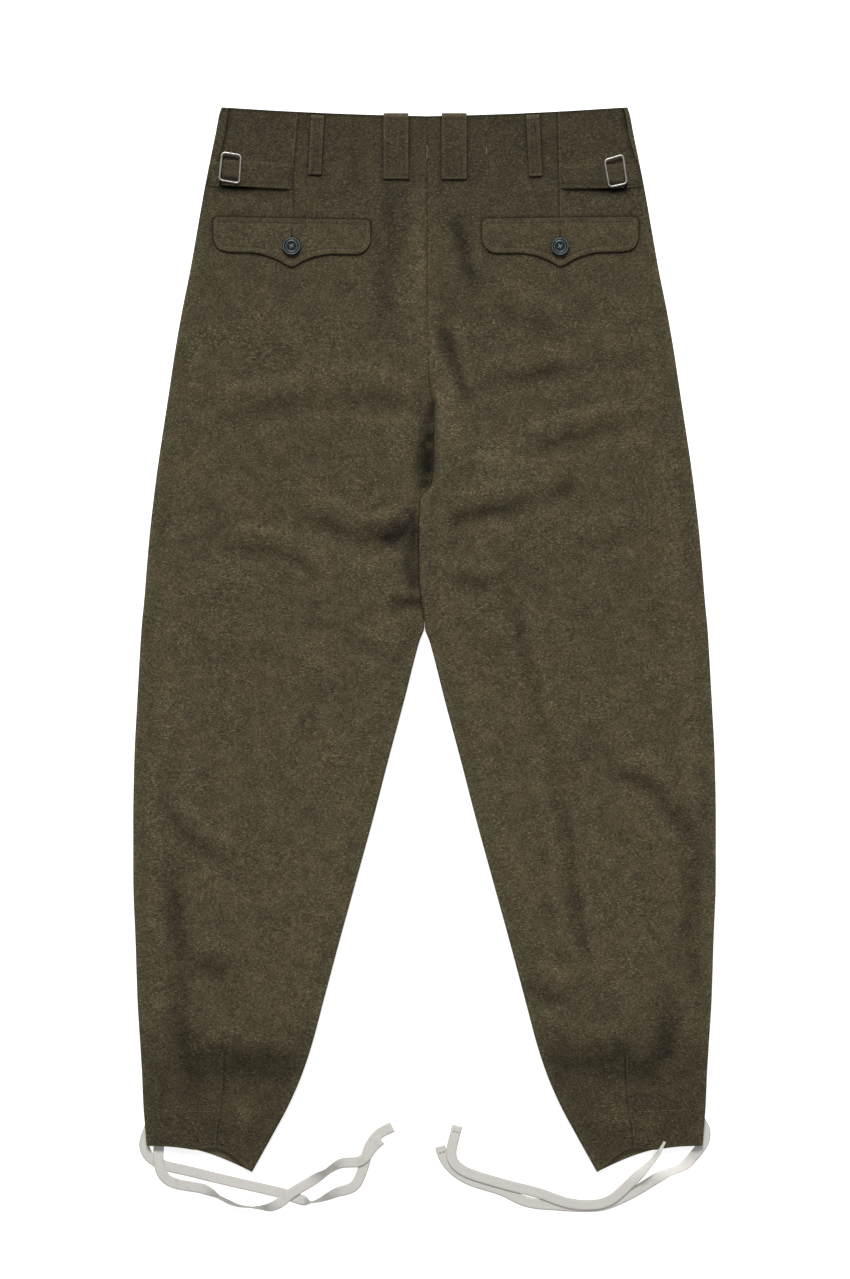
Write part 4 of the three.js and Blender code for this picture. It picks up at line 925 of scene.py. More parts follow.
# Middle of the cloth. The way there is measured round the section from its outermost edge, above
# zero over the back and below zero under the front: a quarter circle, a flat run, then a roll.
def clothMiddle(at, way):
    far = np.abs(way)
    left = at["length"] - far
    width, innerTurn, down = at["width"], at["innerTurn"], at["down"]
    inFromEdge = cloth["half"] + rollRadius + far - quarterRoll
    drop = np.zeros_like(inFromEdge)
    outerRoll = far < quarterRoll
    angle = far / rollRadius
    inFromEdge = np.where(outerRoll, cloth["half"] + rollRadius * (1 - np.cos(angle)), inFromEdge)
    drop = np.where(outerRoll, rollRadius * (1 - np.sin(angle)), drop)
    innerRoll = (left < rollRadius * innerTurn) & ~outerRoll
    turn = innerTurn - left / rollRadius
    rolled = width - at["innerEnd"] - rollRadius * (np.sin(innerTurn) - np.sin(turn))
    inFromEdge = np.where(innerRoll, rolled, inFromEdge)
    drop = np.where(innerRoll, rollRadius * (1 - np.cos(turn)), drop)
    across = inFromEdge / width
    bow = (waist["bow"] * (1 - smooth(down / (1 - hem["bowStartsAt"])))
           + hem["bow"] * smooth((down - hem["bowStartsAt"]) / (1 - hem["bowStartsAt"])))
    x = blend(at["outerX"], at["innerX"], across)
    y = blend(at["outerY"], at["innerY"], across) + bow * np.sin(np.pi * across)
    onBack = way > 0 if at["face"] == "front" else way >= 0
    step = hemStep["depth"] * hump((across - hemStep["centre"]) / hemStep["reach"])
    y = y + np.where(onBack, step * smooth((down - hemStep["startsAt"]) / (1 - hemStep["startsAt"])), 0)
    plain = cloth["half"] + drop
    back = backHeight - plain + reliefOf(at, x, y, inFromEdge)
    room = below(y, tapeRoom["startY"], tapeRoom["startY"] - tapeRoom["fullY"])
    room = room * (1 - above(inFromEdge, tapeRoom["fullWidth"], tapeRoom["endWidth"] - tapeRoom["fullWidth"]))
    front = plain + tapeRoom["lift"] * room * (1 - drop / rollRadius) ** 2
    front = front + frontLift(at, x, y, inFromEdge)
    return np.stack((x, y, np.where(onBack, back, front)), axis=-1), inFromEdge


# Loose height and seams of the back: the higher panel comes down to the lower one at the seat
# seam, with a groove along it and a soft ridge on each side, each depth * bell(distance / reach).
# A groove and a ledge follow each dart, and the hem casing's doubled cloth stands a step higher.
def reliefOf(at, x, y, inFromEdge):
    side, other = ("left", "right") if at["side"] == "left" else ("right", "left")
    fromInner = at["width"] - inFromEdge
    fade = edgeFade(inFromEdge, fromInner, at["cleft"])
    height, beyond = (looseHeight(x, y, part) * fade for part in (side, other))
    seat = above(y, seams["seatFrom"], seams["seatOver"])
    height = height - seat * (1 - smooth(fromInner / seams["meeting"])) * np.maximum(height - beyond, 0)
    height = height - seat * seams["groove"] * bell(fromInner / seams["grooveReach"])
    height = height + seat * seams["ridge"] * bell((fromInner - seams["ridgeIn"]) / seams["ridgeReach"])
    outward = -1 if side == "left" else 1
    inDart, inHem = above(y, 414, 10), below(y, -408, 14)
    for key, shown, share, way in (("dart", inDart, 1, 1), ("hemDart", inHem, 0.8, -1)):
        away = x - seamLine[side][key](y)
        height = height - shown * seams["dartGroove"] * bell(away / seams["dartReach"])
        beside = bell((away * outward - way * seams["ledgeOut"]) / seams["ledgeReach"])
        height = height + shown * share * seams["ledge"] * beside
    fromHem = (1 - at["down"]) * seatLength
    along = bell((fromHem - seams["casing"]) / seams["puckerReach"])
    puckers = seams["pucker"] * ripple(x, y * 0.3, 9, 21) * along
    edge = above(inFromEdge, rollHeight, 8) * above(fromInner, rollHeight, 8)
    doubled = seams["casingStep"] * (1 - smooth((fromHem - seams["casing"] + 4) / 8))
    height = height + edge * (doubled + puckers)
    sideLine = above(y, 440, 30) * bell((inFromEdge - rollHeight - at["sideSeam"]) / seams["sideReach"])
    return height - seams["side"] * sideLine * (at["sideSeam"] > 1)


# How far a place lies from the stroke between two others.
def fromStroke(x, y, startX, startY, endX, endY):
    dx, dy = endX - startX, endY - startY
    t = np.clip(((x - startX) * dx + (y - startY) * dy) / (dx * dx + dy * dy), 0, 1)
    return np.hypot(x - startX - t * dx, y - startY - t * dy)


# Folds of the front, where it lifts off the surface: x, y, endX, endY, breadth, height
frontFolds = {
    "left": [
        (-14, 96, -78, 74, 8, 0.9), (-10, 58, -112, 24, 10, 0.8), (-24, 8, -96, -34, 9, 0.6),
        (-20, 210, -120, 236, 12, 0.7), (-150, 250, -206, 228, 10, 0.5), (-64, 330, -50, 408, 9, 0.5),
        (-128, -40, -138, -190, 10, 0.6), (-236, -150, -196, -214, 10, 0.7),
        (-246, -240, -238, -352, 12, 0.7), (-214, -318, -170, -300, 9, 0.5),
        (-232, -396, -160, -408, 13, 0.8), (-182, 40, -232, 62, 10, 0.5),
    ],
    "right": [
        (12, 104, 88, 88, 9, 0.9), (10, 44, 92, 8, 9, 0.7), (24, 226, 96, 262, 11, 0.7),
        (120, 268, 204, 244, 10, 0.6), (58, 320, 44, 392, 8, 0.5), (150, 90, 212, 118, 9, 0.5),
        (118, -58, 140, -232, 9, 0.7), (206, -146, 258, -206, 10, 0.8), (256, -250, 246, -348, 11, 0.6),
        (132, -330, 176, -352, 10, 0.6), (152, -404, 234, -400, 13, 0.8),
    ],
}
frontRest = {  # height, squeeze, cell, seed and start of the shallow places, then limits and grooves
    "places": ((0.5, 0.55, 55, 31, 0.25), (0.4, 1, 24, 32, 0.3)), "belowBack": 0.9, "most": 1,
    "groove": 0.3, "casingReach": 1.5, "flyReach": 1.8, "ellipse": 36,
}
flySeam = {"out": 38, "turn": 368, "low": 334, "top": 521}


# The fly's sewing: straight down beside the opening, then a quarter of an ellipse to it.
def flySeamLine():
    turn = np.linspace(0, 0.94 * np.pi / 2, 50)
    straight = np.linspace(flySeam["top"], flySeam["turn"], 90)[:-1]
    x = np.concatenate((0 * straight - flySeam["out"], -flySeam["out"] * np.cos(turn)))
    y = np.concatenate((straight, flySeam["turn"] - (flySeam["turn"] - flySeam["low"]) * np.sin(turn)))
    return x, y


# The front rests on the surface and lifts off it by height * bell(distance / breadth) at its
# folds and in a few shallow places, well under the back, and in grooves along its sewing.
def frontLift(at, x, y, inFromEdge):
    fade = edgeFade(inFromEdge, at["width"] - inFromEdge, 1)
    lift = sum(size * np.maximum(ripple(x, y * squeeze, cell, seed) - start, 0)
               for size, squeeze, cell, seed, start in frontRest["places"])
    u, v = x + 2 * ripple(x, y, 19, 33), y + 2.5 * ripple(x, y, 21, 34)
    for *stroke, breadth, height in frontFolds[at["side"]]:
        lift = np.maximum(lift, height * bell(fromStroke(u, v, *stroke) / breadth))
    under = looseHeight(x, y, at["side"]) * fade + frontRest["belowBack"]
    clear = above(np.abs(x), 30, 12) + below(y, 320, 12)
    lift = np.clip(np.minimum(lift, under), 0, frontRest["most"]) * fade * np.clip(clear, 0, 1)
    casing = bell((y - casingHeight(x)) / frontRest["casingReach"])
    grooves = frontRest["groove"] * casing * above(inFromEdge, rollHeight, 4)
    if at["side"] == "left":
        straight = bell((x + flySeam["out"]) / frontRest["flyReach"]) * above(y, flySeam["turn"], 3)
        out = np.hypot(x / flySeam["out"], (y - flySeam["turn"]) / (flySeam["turn"] - flySeam["low"]))
        curved = bell((out - 1) * frontRest["ellipse"] / frontRest["flyReach"])
        turned = curved * below(y, flySeam["turn"], 3) * (x < 0)
        grooves = np.maximum(grooves, frontRest["groove"] * np.maximum(straight, turned))
    return np.maximum(lift, grooves)


frontCasing = {"y": -474, "drop": 4, "from": 250, "over": 90}


# Height y of the casing's sewing on the front: a shallow arc that drops towards the inner edge.
def casingHeight(x):
    return frontCasing["y"] - frontCasing["drop"] * below(np.abs(x), frontCasing["from"], frontCasing["over"])


# Shares from 0 to 1 that lie closer together near some places: the running sum of
# 1 + gain * bell((share - place) / reach), turned round.
def spaced(count, *places):
    share = np.linspace(0, 1, 4001)
    density = 1 + sum(gain * bell((share - place) / reach) for place, gain, reach in places)
    run = np.cumsum(density)
    run = (run - run[0]) / (run[-1] - run[0])
    return np.interp(np.linspace(0, 1, count), run, share)


# Where a flat x lies on the way round the back of each section.
def wayOf(at, x):
    across = (x - at["outerX"]) / (at["innerX"] - at["outerX"])
    return across * at["width"] - rollHeight + quarterRoll


# Shade deep in folds and light along their crests: each stroke runs from x, y to endX, endY with
# a breadth and a depth, and a depth under 0 makes it lighter. They stay on their own side's panel.
foldShades = {
    "left": [
        (8.5, 270, 10, 236, 4, 0.55), (8, 236, 6, 205, 7, 0.57), (6.5, 205, 3, 160, 11, 0.7),
        (-3, 162, -9, 130, 5, 0.3), (-60, 118, -20, 106, 9, 0.2), (-36, 105, -14, 116, 11, 0.62),
        (-12, 126, -9, 92, 8, 0.6), (-11, 98, -10, 58, 9, 0.62), (-26, 41, -7, 37, 6, 0.6),
        (-250, -226, -246, -322, 15, 0.38), (-236, -325, -200, -331, 16, 0.28),
        (-246, -322, -243, -376, 14, 0.36), (-246, -375, -231, -430, 14, 0.42),
        (-208, -414, -150, -422, 19, 0.22), (-262, -162, -196, -226, 11, 0.16),
        (-50, 408, -34, 312, 10, 0.14), (-36, 437, -28, 386, 9, 0.14),
        (-190, -477, -180, -474, 12, -0.28), (-4, 440, -4, 260, 8, -0.15),
        (-60, 200, -30, 180, 14, -0.1), (-195.5, 531, -203.5, 480, 2.2, 0.22),
    ],
    "right": [
        (34, 414, 52, 352, 8, 0.3), (16, 322, 40, 250, 7, 0.32), (140, -415, 200, -419, 18, 0.2),
        (190, -415, 222, -438, 13, 0.22), (247, -352, 241, -405, 15, 0.34),
        (238, -405, 222, -430, 12, 0.3), (110, -346, 136, -357, 11, 0.26),
        (143, -160, 158, -305, 8, 0.16), (152, -262, 159, -306, 9, 0.26),
        (200, -133, 252, -156, 10, 0.24), (252, -156, 271, -200, 11, 0.3),
        (268, -195, 264, -335, 13, 0.34), (30, 62, 72, 58, 8, 0.16), (28, 121, 80, 132, 7, 0.24),
        (80, 132, 145, 156, 7, 0.14), (76, 58, 100, -30, 8, 0.26), (100, -30, 126, -125, 9, 0.16),
        (18, 250, 24, 180, 11, -0.22), (35, 212, 110, 222, 9, -0.14), (45, 196, 95, 168, 20, -0.2),
        (184, -476, 196, -474, 12, -0.28), (-2, 440, 2, 270, 8, -0.15),
        (198, 531, 207.5, 483, 2.2, 0.26), (50, 335, 125, 290, 36, 0.06),
    ],
}
shadeUneven = {"share": 0.35, "cell": 8}


# The deepest and the lightest depth * bell(distance / breadth) of the strokes, added, on places
# that drift softly, and a little uneven.
def foldShade(x, y, side):
    dark, light = np.zeros_like(x), np.zeros_like(x)
    u, v = x + 2 * ripple(x, y, 17, 71), y + 3 * ripple(x, y, 19, 72)
    for *stroke, breadth, depth in foldShades[side]:
        amount = depth * bell(fromStroke(u, v, *stroke) / breadth)
        dark, light = np.maximum(dark, amount), np.minimum(light, amount)
    return (dark + light) * (1 + shadeUneven["share"] * ripple(x, y, shadeUneven["cell"], 73))


# Sizes of the pieces that lie on the back

# loopTone and strapTone darken the loops and straps as painted shade, foldTone is painted shade where a loop
# folds over the waist edge, and worn pales that fold, partly wear and partly painted highlight.
strip = {"gap": 0.42, "half": 0.85, "cell": 0.8, "edge": 2.2, "waistDrop": 3.2, "waistReach": 3,
         "fold": 0.3, "foldReach": 1.1, "dip": 0.25, "dipReach": 0.9, "strapBow": 0.7, "uneven": 0.08,
         "caughtHalf": 0.35, "upperHalf": 0.55, "lowerHalf": 0.4, "thinReach": 3.5, "tabReach": 4,
         "loopTone": -0.27, "strapTone": -0.25, "worn": 0.25, "foldTone": 0.3,
         "stitch": 0.22, "stitchUp": 0.05}
# Painted shadow of the buckle on its strap, and a painted highlight on a ridge of the strap.
strapShades = {  # on a strap inside its buckle: x, y, endX, endY, breadth, depth (below 0: a pale ridge)
    "waist_strap_left": ((-201, 461.4, -188, 460.4, 2.4, 0.55), (-200, 466.6, -192, 466, 0.9, -0.22)),
    "waist_strap_right": ((186.5, 455.6, 198, 456.8, 2.2, 0.5), (189, 459.6, 196, 460.4, 0.9, -0.22)),
}
strips = {  # x, y, endX, endY, breadth, height of its bow
    "belt_loop_wide_left": (-28.5, 526.3, -28.5, 461.5, 23.5, 0.9),
    "belt_loop_wide_right": (29.7, 526.4, 29.7, 461.3, 23.5, 0.9),
    "belt_loop_narrow_left": (-106.8, 525.2, -109.6, 466, 11.5, 0.9),
    "belt_loop_narrow_right": (108, 525.6, 111.2, 464.3, 11.5, 0.9),
    "waist_strap_left": (-132.8, 463.4, -201.8, 467.4, 24.4, 0),
    "waist_strap_right": (136, 463.2, 199.4, 463.8, 22.6, 0),
    "buckle_tab_left": (-204.3, 465.4, -214.3, 466.6, 24, 0),
    "buckle_tab_right": (201.6, 463.2, 214.2, 464.8, 22.6, 0),
}

flap = {"width": 157, "corner": 2.5, "gap": 0.42, "half": 0.9, "rim": 0.9, "rows": 58, "columns": 176,
        "seamIn": 4.0, "turnedIn": 0.3, "dip": 0.4, "dipReach": 0.95, "billow": 0.35, "uneven": 0.12,
        "tone": -0.02, "seamShade": 0.5, "seamShadeReach": 1.3, "seamDepth": 30, "endShade": 0.1,
        "buttonShade": 0.45, "buttonShadeOut": 8.4, "worn": 0.1, "stitch": 0.3, "stitchDown": 0.22}
flapEdge = columnsOf("across depth", [
    (0, 22.5), (0.023, 28), (0.05, 31.4), (0.093, 32.9), (0.239, 33), (0.335, 35.4), (0.433, 41),
    (0.47, 44.7), (0.497, 46.6), (0.525, 45.4), (0.56, 42.4), (0.594, 39.6), (0.627, 37.5), (0.7, 34.4),
    (0.745, 33.2), (0.891, 32.9), (0.95, 31.5), (0.98, 28.5), (1, 21.5)])
flapDepth = lineThrough(flapEdge["across"], flapEdge["depth"])
flaps = {  # inner and outer x, inner and outer y of the top seam
    "pocket_flap_left": (-55.1, -210, 419, 421.8),
    "pocket_flap_right": (58.6, 212.8, 420.2, 422),
}
buttonPlaces = {  # x, y, turn in degrees
    "pocket_button_left": (-132.8, 393.1, 8), "pocket_button_right": (135.3, 392.9, -14),
}


# Places of a flap, u from its inner to its outer end and v from its top seam to its lower edge:
# y = line between the ends of the seam + blend(top, -depth(u), v), where top rounds the corners.
def flapPlace(row, u, v):
    innerX, outerX, innerY, outerY = row
    near = np.minimum(u, 1 - u) * flap["width"]
    top = -flap["corner"] * (1 - smooth(near / flap["corner"]))
    return blend(innerX, outerX, u), blend(innerY, outerY, u) + blend(top, -flapDepth(u), v)


# The outline of a flap as points: its four sides one after the other.
def outlineOf(row, count=260):
    u = (1 - np.cos(np.pi * np.linspace(0, 1, count))) / 2
    v = np.linspace(0, 1, 40)
    parts = [flapPlace(row, u, 0 * u), flapPlace(row, 0 * v + 1, v),
             flapPlace(row, u[::-1], 0 * u + 1), flapPlace(row, 0 * v, v[::-1])]
    return np.concatenate([np.stack(part, axis=-1) for part in parts])


contact = {  # depths of the shade beside each kind of piece, and how far it reaches
    "above": 0.9, "flapAbove": 0.3, "reach": 2.5, "strapReach": 3.4, "strap": 0.75, "strapThin": 0.1,
    "tab": 0.25, "loop": 0.4, "flap": 0.85, "flapLower": 0.45,
}

# Broad painted shade and light of the back by height: darker at the waistband and at the hems, lighter down
# the legs.
broadPaintedShade = lineThrough(*np.array([
    (532, -0.34), (430, -0.2), (390, -0.07), (200, 0.06), (0, 0.17), (-200, 0.27), (-370, 0.27), (-405, 0),
    (-430, -0.12), (-470, -0.09), (-532, -0.06)]).T)


# Shade in the corner where a piece lies on the back: depth * bell(distance / reach), with the
# distance taken a little above the place, because the light comes from the waist.
def contactTone(x, y, side):
    shade = np.zeros_like(x)
    for name, (*stroke, breadth, _) in strips.items():
        if name.endswith(side):
            along, across, run = strokeFrame(x, y + contact["above"], *stroke)
            pastEnd, pastSide = np.abs(along) - run / 2, np.abs(across) - breadth / 2
            far = np.hypot(np.maximum(pastEnd, 0), np.maximum(pastSide, 0))
            depth, reach, endY = contact["loop"], contact["reach"], stroke[3]
            if not name.startswith("belt"):  # deepest below the strap, and near its buckle
                nearer = blend(contact["strapThin"], contact["strap"], above(np.abs(x), 140, 50))
                depth = below(y, endY - 4, 6) * nearer * (contact["tab"] if name.startswith("buckle") else 1)
                reach = reach + above(np.abs(x), 150, 50) * (endY - 8 > y) * contact["strapReach"]
            shade = np.maximum(shade, depth * bell(far / reach))
    close = (y > 360) & (y < 430) & (np.abs(x) > 46) & (np.abs(x) < 222)  # only there is the flap near
    outline = outlineOf(flaps["pocket_flap_" + side], 200)
    spot = np.stack((x[close], y[close] + contact["flapAbove"]), axis=-1)
    far = np.min(np.linalg.norm(spot[:, None] - outline[None], axis=2), axis=1)
    depth = contact["flap"] * (1 - contact["flapLower"] * below(y[close], 404, 14))
    shade[close] = np.maximum(shade[close], depth * bell(far / contact["reach"]))
    return shade


casingDown = 1 - seams["casing"] / seatLength
# Painted shade and light of the panels: fine, broad, least and most paint the relief against the cloth round
# it, hollows darker and crests paler; front, frontLift, frontLeast and frontMost paint the fronts' folds
# darker; fold and seat are painted light, and turned is painted light on the fronts at the waist.
panelTone = {
    "fine": 0.12, "broad": 0.05, "least": -0.14, "most": 0.12,  # relief against the cloth round it
    "fold": 0.14, "foldReach": 9, "seat": 0.05, "waist": 0.3, "waistReach": 1.6,
    "hemWorn": 0.25, "hemReach": 1.5,
    "front": 0.25, "frontLift": 0.1, "frontLeast": -0.12, "frontMost": 0.22, "reverseDeep": 48,
    "turned": {"left": 0.04, "right": 0.3},  # of the fronts where they turn onto the back at the waist
}


# Half thickness of the rims: nearly flat where two panels meet, round at the waist and the hem.
def rimSwell(shape):
    swell = np.full(shape, cloth["seamRim"])
    swell[0] = swell[-1] = cloth["rim"]
    return swell


# A back panel: sections from waist to hem, closer together at both ends, at the casing's seam and
# at the darts. Its tone is painted shade and light: the relief against its surroundings, plus broad, fold and
# contact tones.
def makeBack(side):
    ends = (0, 1.2, 0.004), (1, 1.6, 0.004)
    down = spaced(panelGrid["rows"], *ends, (casingDown, 2.6, 0.0035))[:, None]
    at = sectionOf(side, "back", down)
    start = at["sideSeam"] + cloth["seamGap"] / 2
    flatStart, flatEnd = start + quarterRoll, at["length"] - quarterRoll
    roll = np.linspace(0, 1, panelGrid["roll"])
    shares = spaced(panelGrid["columns"], (0, 1.6, 0.015), (1, 3.0, 0.02))
    flat = blend(flatStart, flatEnd, shares)
    innerY = at["innerY"]
    for key, strength in (("dart", above(innerY, 395, 40)), ("hemDart", below(innerY, -385, 40))):
        flat = drawTogether(flat, wayOf(at, seamLine[side][key](innerY)), strength)
    ways = np.concatenate((start + quarterRoll * roll[:-1], flat, flatEnd + quarterRoll * roll[1:]), axis=1)
    middle, inFromEdge = clothMiddle(at, ways)
    x, y, z = np.moveaxis(middle, -1, 0)
    relief = panelTone["fine"] * (z - evened(z, 5)) + panelTone["broad"] * (z - evened(z, 12))
    tone = np.clip(relief, panelTone["least"], panelTone["most"])
    tone = tone - foldShade(x, y, side)
    tone = tone + broadPaintedShade(y) - contactTone(x, y, side)
    # Painted light on the rolled outer and inner edges and along the seat's ridge, and darker along the waist
    # edge.
    outerFold = below(y, 430, 60) * bell(inFromEdge / panelTone["foldReach"])
    innerFold = below(y, 20, 30) * bell((at["width"] - inFromEdge) / panelTone["foldReach"])
    tone = tone + panelTone["fold"] * np.maximum(outerFold, innerFold)
    tone = tone + panelTone["seat"] * above(y, 200, 40) * below(y, 470, 20) * bell(x / 12)
    tone = tone - panelTone["waist"] * bell(down * seatLength / panelTone["waistReach"])
    worn = panelTone["hemWorn"] * bell((1 - down) * seatLength / panelTone["hemReach"]) + 0 * x
    outward = -1 if side == "left" else 1
    upper, lower = (x - seamLine[side][key](y) for key in ("dart", "hemDart"))
    dart = np.where(y > 0, upper, lower) * outward
    inDart = np.where(y > 0, above(y, 420, 8), below(y, -408, 12))
    sideBrink = np.where(at["sideSeam"] > 1, ways - start, 99)
    brink = np.minimum(sideBrink, np.where(y > 30, at["length"] - ways + 0.8, 99))
    values = clothValues(tone.shape, tone=tone, worn=worn, dart=dart, inDart=inDart, brink=brink)
    points, faces, spread = clothShell(middle, cloth["half"], rimSwell(ways.shape), 5, values)
    piece = makePiece("Back" + side.title(), points, faces, woolCloth, spread)
    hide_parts("back_" + side)
    return piece, middle


# A front panel: from its side seam down over the outer edge, flat below and up the inner edge. It
# shows the cloth's paler reverse inside the hem. Its tone is the broad painted shade, less painted shade in
# its folds, with painted light where it turns onto the back at the waist.
def makeFront(side):
    ends = (0, 1.2, 0.004), (1, 1.6, 0.01)
    down = spaced(panelGrid["frontRows"], *ends, (casingDown + 0.012, 2.6, 0.012))[:, None]
    at = sectionOf(side, "front", down)
    start = at["sideSeam"] - cloth["seamGap"] / 2
    flatEnd = quarterRoll - at["length"]
    roll = np.linspace(0, 1, panelGrid["frontRoll"])
    outer = blend(start, -quarterRoll, np.linspace(0, 1, 9)[:-1])
    flat = blend(-quarterRoll, flatEnd, spaced(panelGrid["frontColumns"], (0, 1, 0.02), (1, 1, 0.02)))
    ways = np.concatenate((outer, flat, flatEnd - quarterRoll * roll[1:]), axis=1)
    middle, inFromEdge = clothMiddle(at, ways)
    y, z = middle[..., 1], middle[..., 2]
    # Painted shade in the folds, and painted light where the front turns onto the back at the waist.
    inner = above(inFromEdge, 10, 8)
    raised = (z - evened(z, 5)) * inner
    relief = panelTone["front"] * raised + panelTone["frontLift"] * (z - cloth["half"]) * inner
    tone = broadPaintedShade(y) - np.clip(relief, panelTone["frontLeast"], panelTone["frontMost"])
    tone = tone + panelTone["turned"][side] * above(y, 468, 12) * (ways > 0)
    reverse = below(y, hem["innerY"] + panelTone["reverseDeep"], 6) * above(inFromEdge, 8, 10)
    values = clothValues(reverse.shape, reverse=reverse, tone=tone)
    points, faces, spread = clothShell(middle, cloth["half"], rimSwell(ways.shape), 4, values)
    points[:, 2] = np.maximum(points[:, 2], 0)
    faceParts = (slice(0, z.size), slice(z.size, 2 * z.size))
    lowerFace = min(faceParts, key=lambda part: points[part, 2].mean())
    spread["reverse"][lowerFace] = 0
    piece = makePiece("Front" + side.title(), points, faces, woolCloth, spread)
    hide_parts("front_" + side)
    return piece, middle


fronts = {side: makeFront(side) for side in ("left", "right")}
backs = {side: makeBack(side) for side in ("left", "right")}
print("panels made")

flyLap = {"top": 512, "bottom": 335, "left": -14, "right": 26, "height": 2.45, "half": 0.42, "uneven": 0.06}


# The fly underlap: a flat rectangle inside the fronts, a little uneven in height.
def makeFlyLap():
    u, v = np.linspace(0, 1, 20)[None, :], np.linspace(0, 1, 70)[:, None]
    x = blend(flyLap["left"], flyLap["right"], u) + 0 * v
    y = blend(flyLap["top"], flyLap["bottom"], v) + 0 * u
    middle = np.stack((x, y, flyLap["height"] + flyLap["uneven"] * ripple(x, y, 16, 41)), axis=-1)
    points, faces, spread = clothShell(middle, flyLap["half"], flyLap["half"], 4, clothValues(x.shape))
    piece = makePiece("FlyUnderlap", points, faces, woolCloth, spread)
    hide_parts("fly_underlap")
    return piece


flyPiece = makeFlyLap()


# Pieces that lie on the back

stitch = {"along": (-1, -0.82, -0.3, 0.3, 0.82, 1), "thinnest": 0.04, "stray": 0.2,
          "slant": 0.12, "turn": 0.05}
stitchRows = {  # how long a stitch is, how far to the next, its radius, and how deep its ends go down
    "piece": {"long": 2.5, "pitch": 3.3, "sunk": 0.35},
    "casing": {"long": 2.8, "pitch": 4.0, "radius": 0.32, "sunk": 0.35},
    "pocket": {"long": 2.4, "pitch": 3.4, "radius": 0.26, "sunk": 0.35},
    "front": {"long": 2.6, "pitch": 3.6, "radius": 0.24, "sunk": -0.2},
    "tapeEnd": {"long": 1.9, "pitch": 2.4, "radius": 0.26, "sunk": 0.35},
}


# Stitches along a line of points: each is a lens of thread with a radius of r * sqrt(1 - s^4),
# s from -1 to 1, whose ends go down by r * sunk * |s|^3 and which slants a little across the line.
def sew(name, line, material, long, pitch, radius, sunk):
    length = lengthAlong(line)
    count = max(1, int((length[-1] - long) / pitch))
    random = np.random.default_rng(len(name) + count)
    stray, turn = stitch["stray"], stitch["turn"]
    starts = (length[-1] - long) * (np.arange(count) + 0.5) / count + random.uniform(-stray, stray, count)
    s = np.array(stitch["along"])
    place = starts[:, None] + long * (s[None] + 1) / 2
    centre = np.stack([np.interp(place, length, line[:, k]) for k in range(3)], axis=-1)
    run = unit(centre[:, -1] - centre[:, 0])
    across = unit(np.stack((-run[:, 1], run[:, 0], 0 * run[:, 0]), axis=-1))[:, None]
    up = np.cross(run, across[:, 0])[:, None]
    turned = stitch["slant"] + random.uniform(-turn, turn, (count, 1, 1))
    station = s[None, :, None]
    centre = centre + across * (station * long / 2 * turned) - up * radius * sunk * np.abs(station) ** 3
    angle = 2 * np.pi * np.arange(6) / 6
    size = radius * np.sqrt(np.maximum(1 - s ** 4, stitch["thinnest"]))[None, :, None, None]
    rings = (centre[:, :, None] + size * (np.cos(angle)[None, None, :, None] * across[:, :, None]
                                         + np.sin(angle)[None, None, :, None] * up[:, :, None]))
    sides = gridQuads(6, 6, closed=True)
    lids = np.array([(0, 1, 2, 3), (0, 3, 4, 5), (33, 32, 31, 30), (35, 34, 33, 30)])
    one = np.concatenate((sides, lids[:, ::-1]))
    faces = (one[None] + 36 * np.arange(count)[:, None, None]).reshape(-1, 4)
    return makePiece(name, rings.reshape(-1, 3), faces, material)


# Middle of a strip and half its thickness: t runs to its end, side from -1 to 1 across it. It lies
# on the back and stands off by bow * sin^2(pi t), and dips where it is sewn. A loop bends down
# over the waist edge. A strap or tab thins where it is caught in a seam and along its upper edge.
def stripMiddle(name, t, side):
    x, y, endX, endY, breadth, bow = strips[name]
    run = np.hypot(endX - x, endY - y)
    acrossX, acrossY = -(endY - y) / run, (endX - x) / run
    px = blend(x, endX, t) + acrossX * side * breadth / 2
    py = blend(y, endY, t) + acrossY * side * breadth / 2
    fromSide, fromStart, fromEnd = (1 - np.abs(side)) * breadth / 2, t * run, (1 - t) * run
    if name.startswith("belt_loop"):
        inside = np.minimum(fromSide, fromEnd)
        half = strip["half"] + 0 * px
        stand = bow * np.sin(np.pi * t) ** 2 - strip["fold"] * bell((fromStart - 6) / strip["foldReach"])
        stand = stand - strip["waistDrop"] * np.maximum(1 - fromStart / strip["waistReach"], 0) ** 2
    else:
        caught = fromStart if name.startswith("waist") else fromEnd
        lower = side if x < 0 else -side
        fromUpper = (1 + lower) * breadth / 2
        inside = np.minimum(fromSide, caught + 1.5)
        half = strip["half"] * blend(strip["caughtHalf"], 1, smooth(caught / strip["thinReach"]))
        half = half * blend(strip["upperHalf"], 1, smooth(fromUpper / strip["thinReach"]))
        stand = strip["strapBow"] * smooth((0.3 + lower) / 1.2) * smooth(caught / 8)
        stand = stand * smooth((run - caught) / 5)
        if name.startswith("buckle"):
            half = half * blend(strip["lowerHalf"], 1, smooth((breadth - fromUpper) / strip["tabReach"]))
            stand = 0
    z = laidTop(px, py) + strip["gap"] + half + stand + strip["uneven"] * ripple(px, py, 6, 51)
    z = z - strip["dip"] * bell((inside - strip["edge"]) / strip["dipReach"])
    return np.stack((px, py, z), axis=-1), half, inside, fromStart
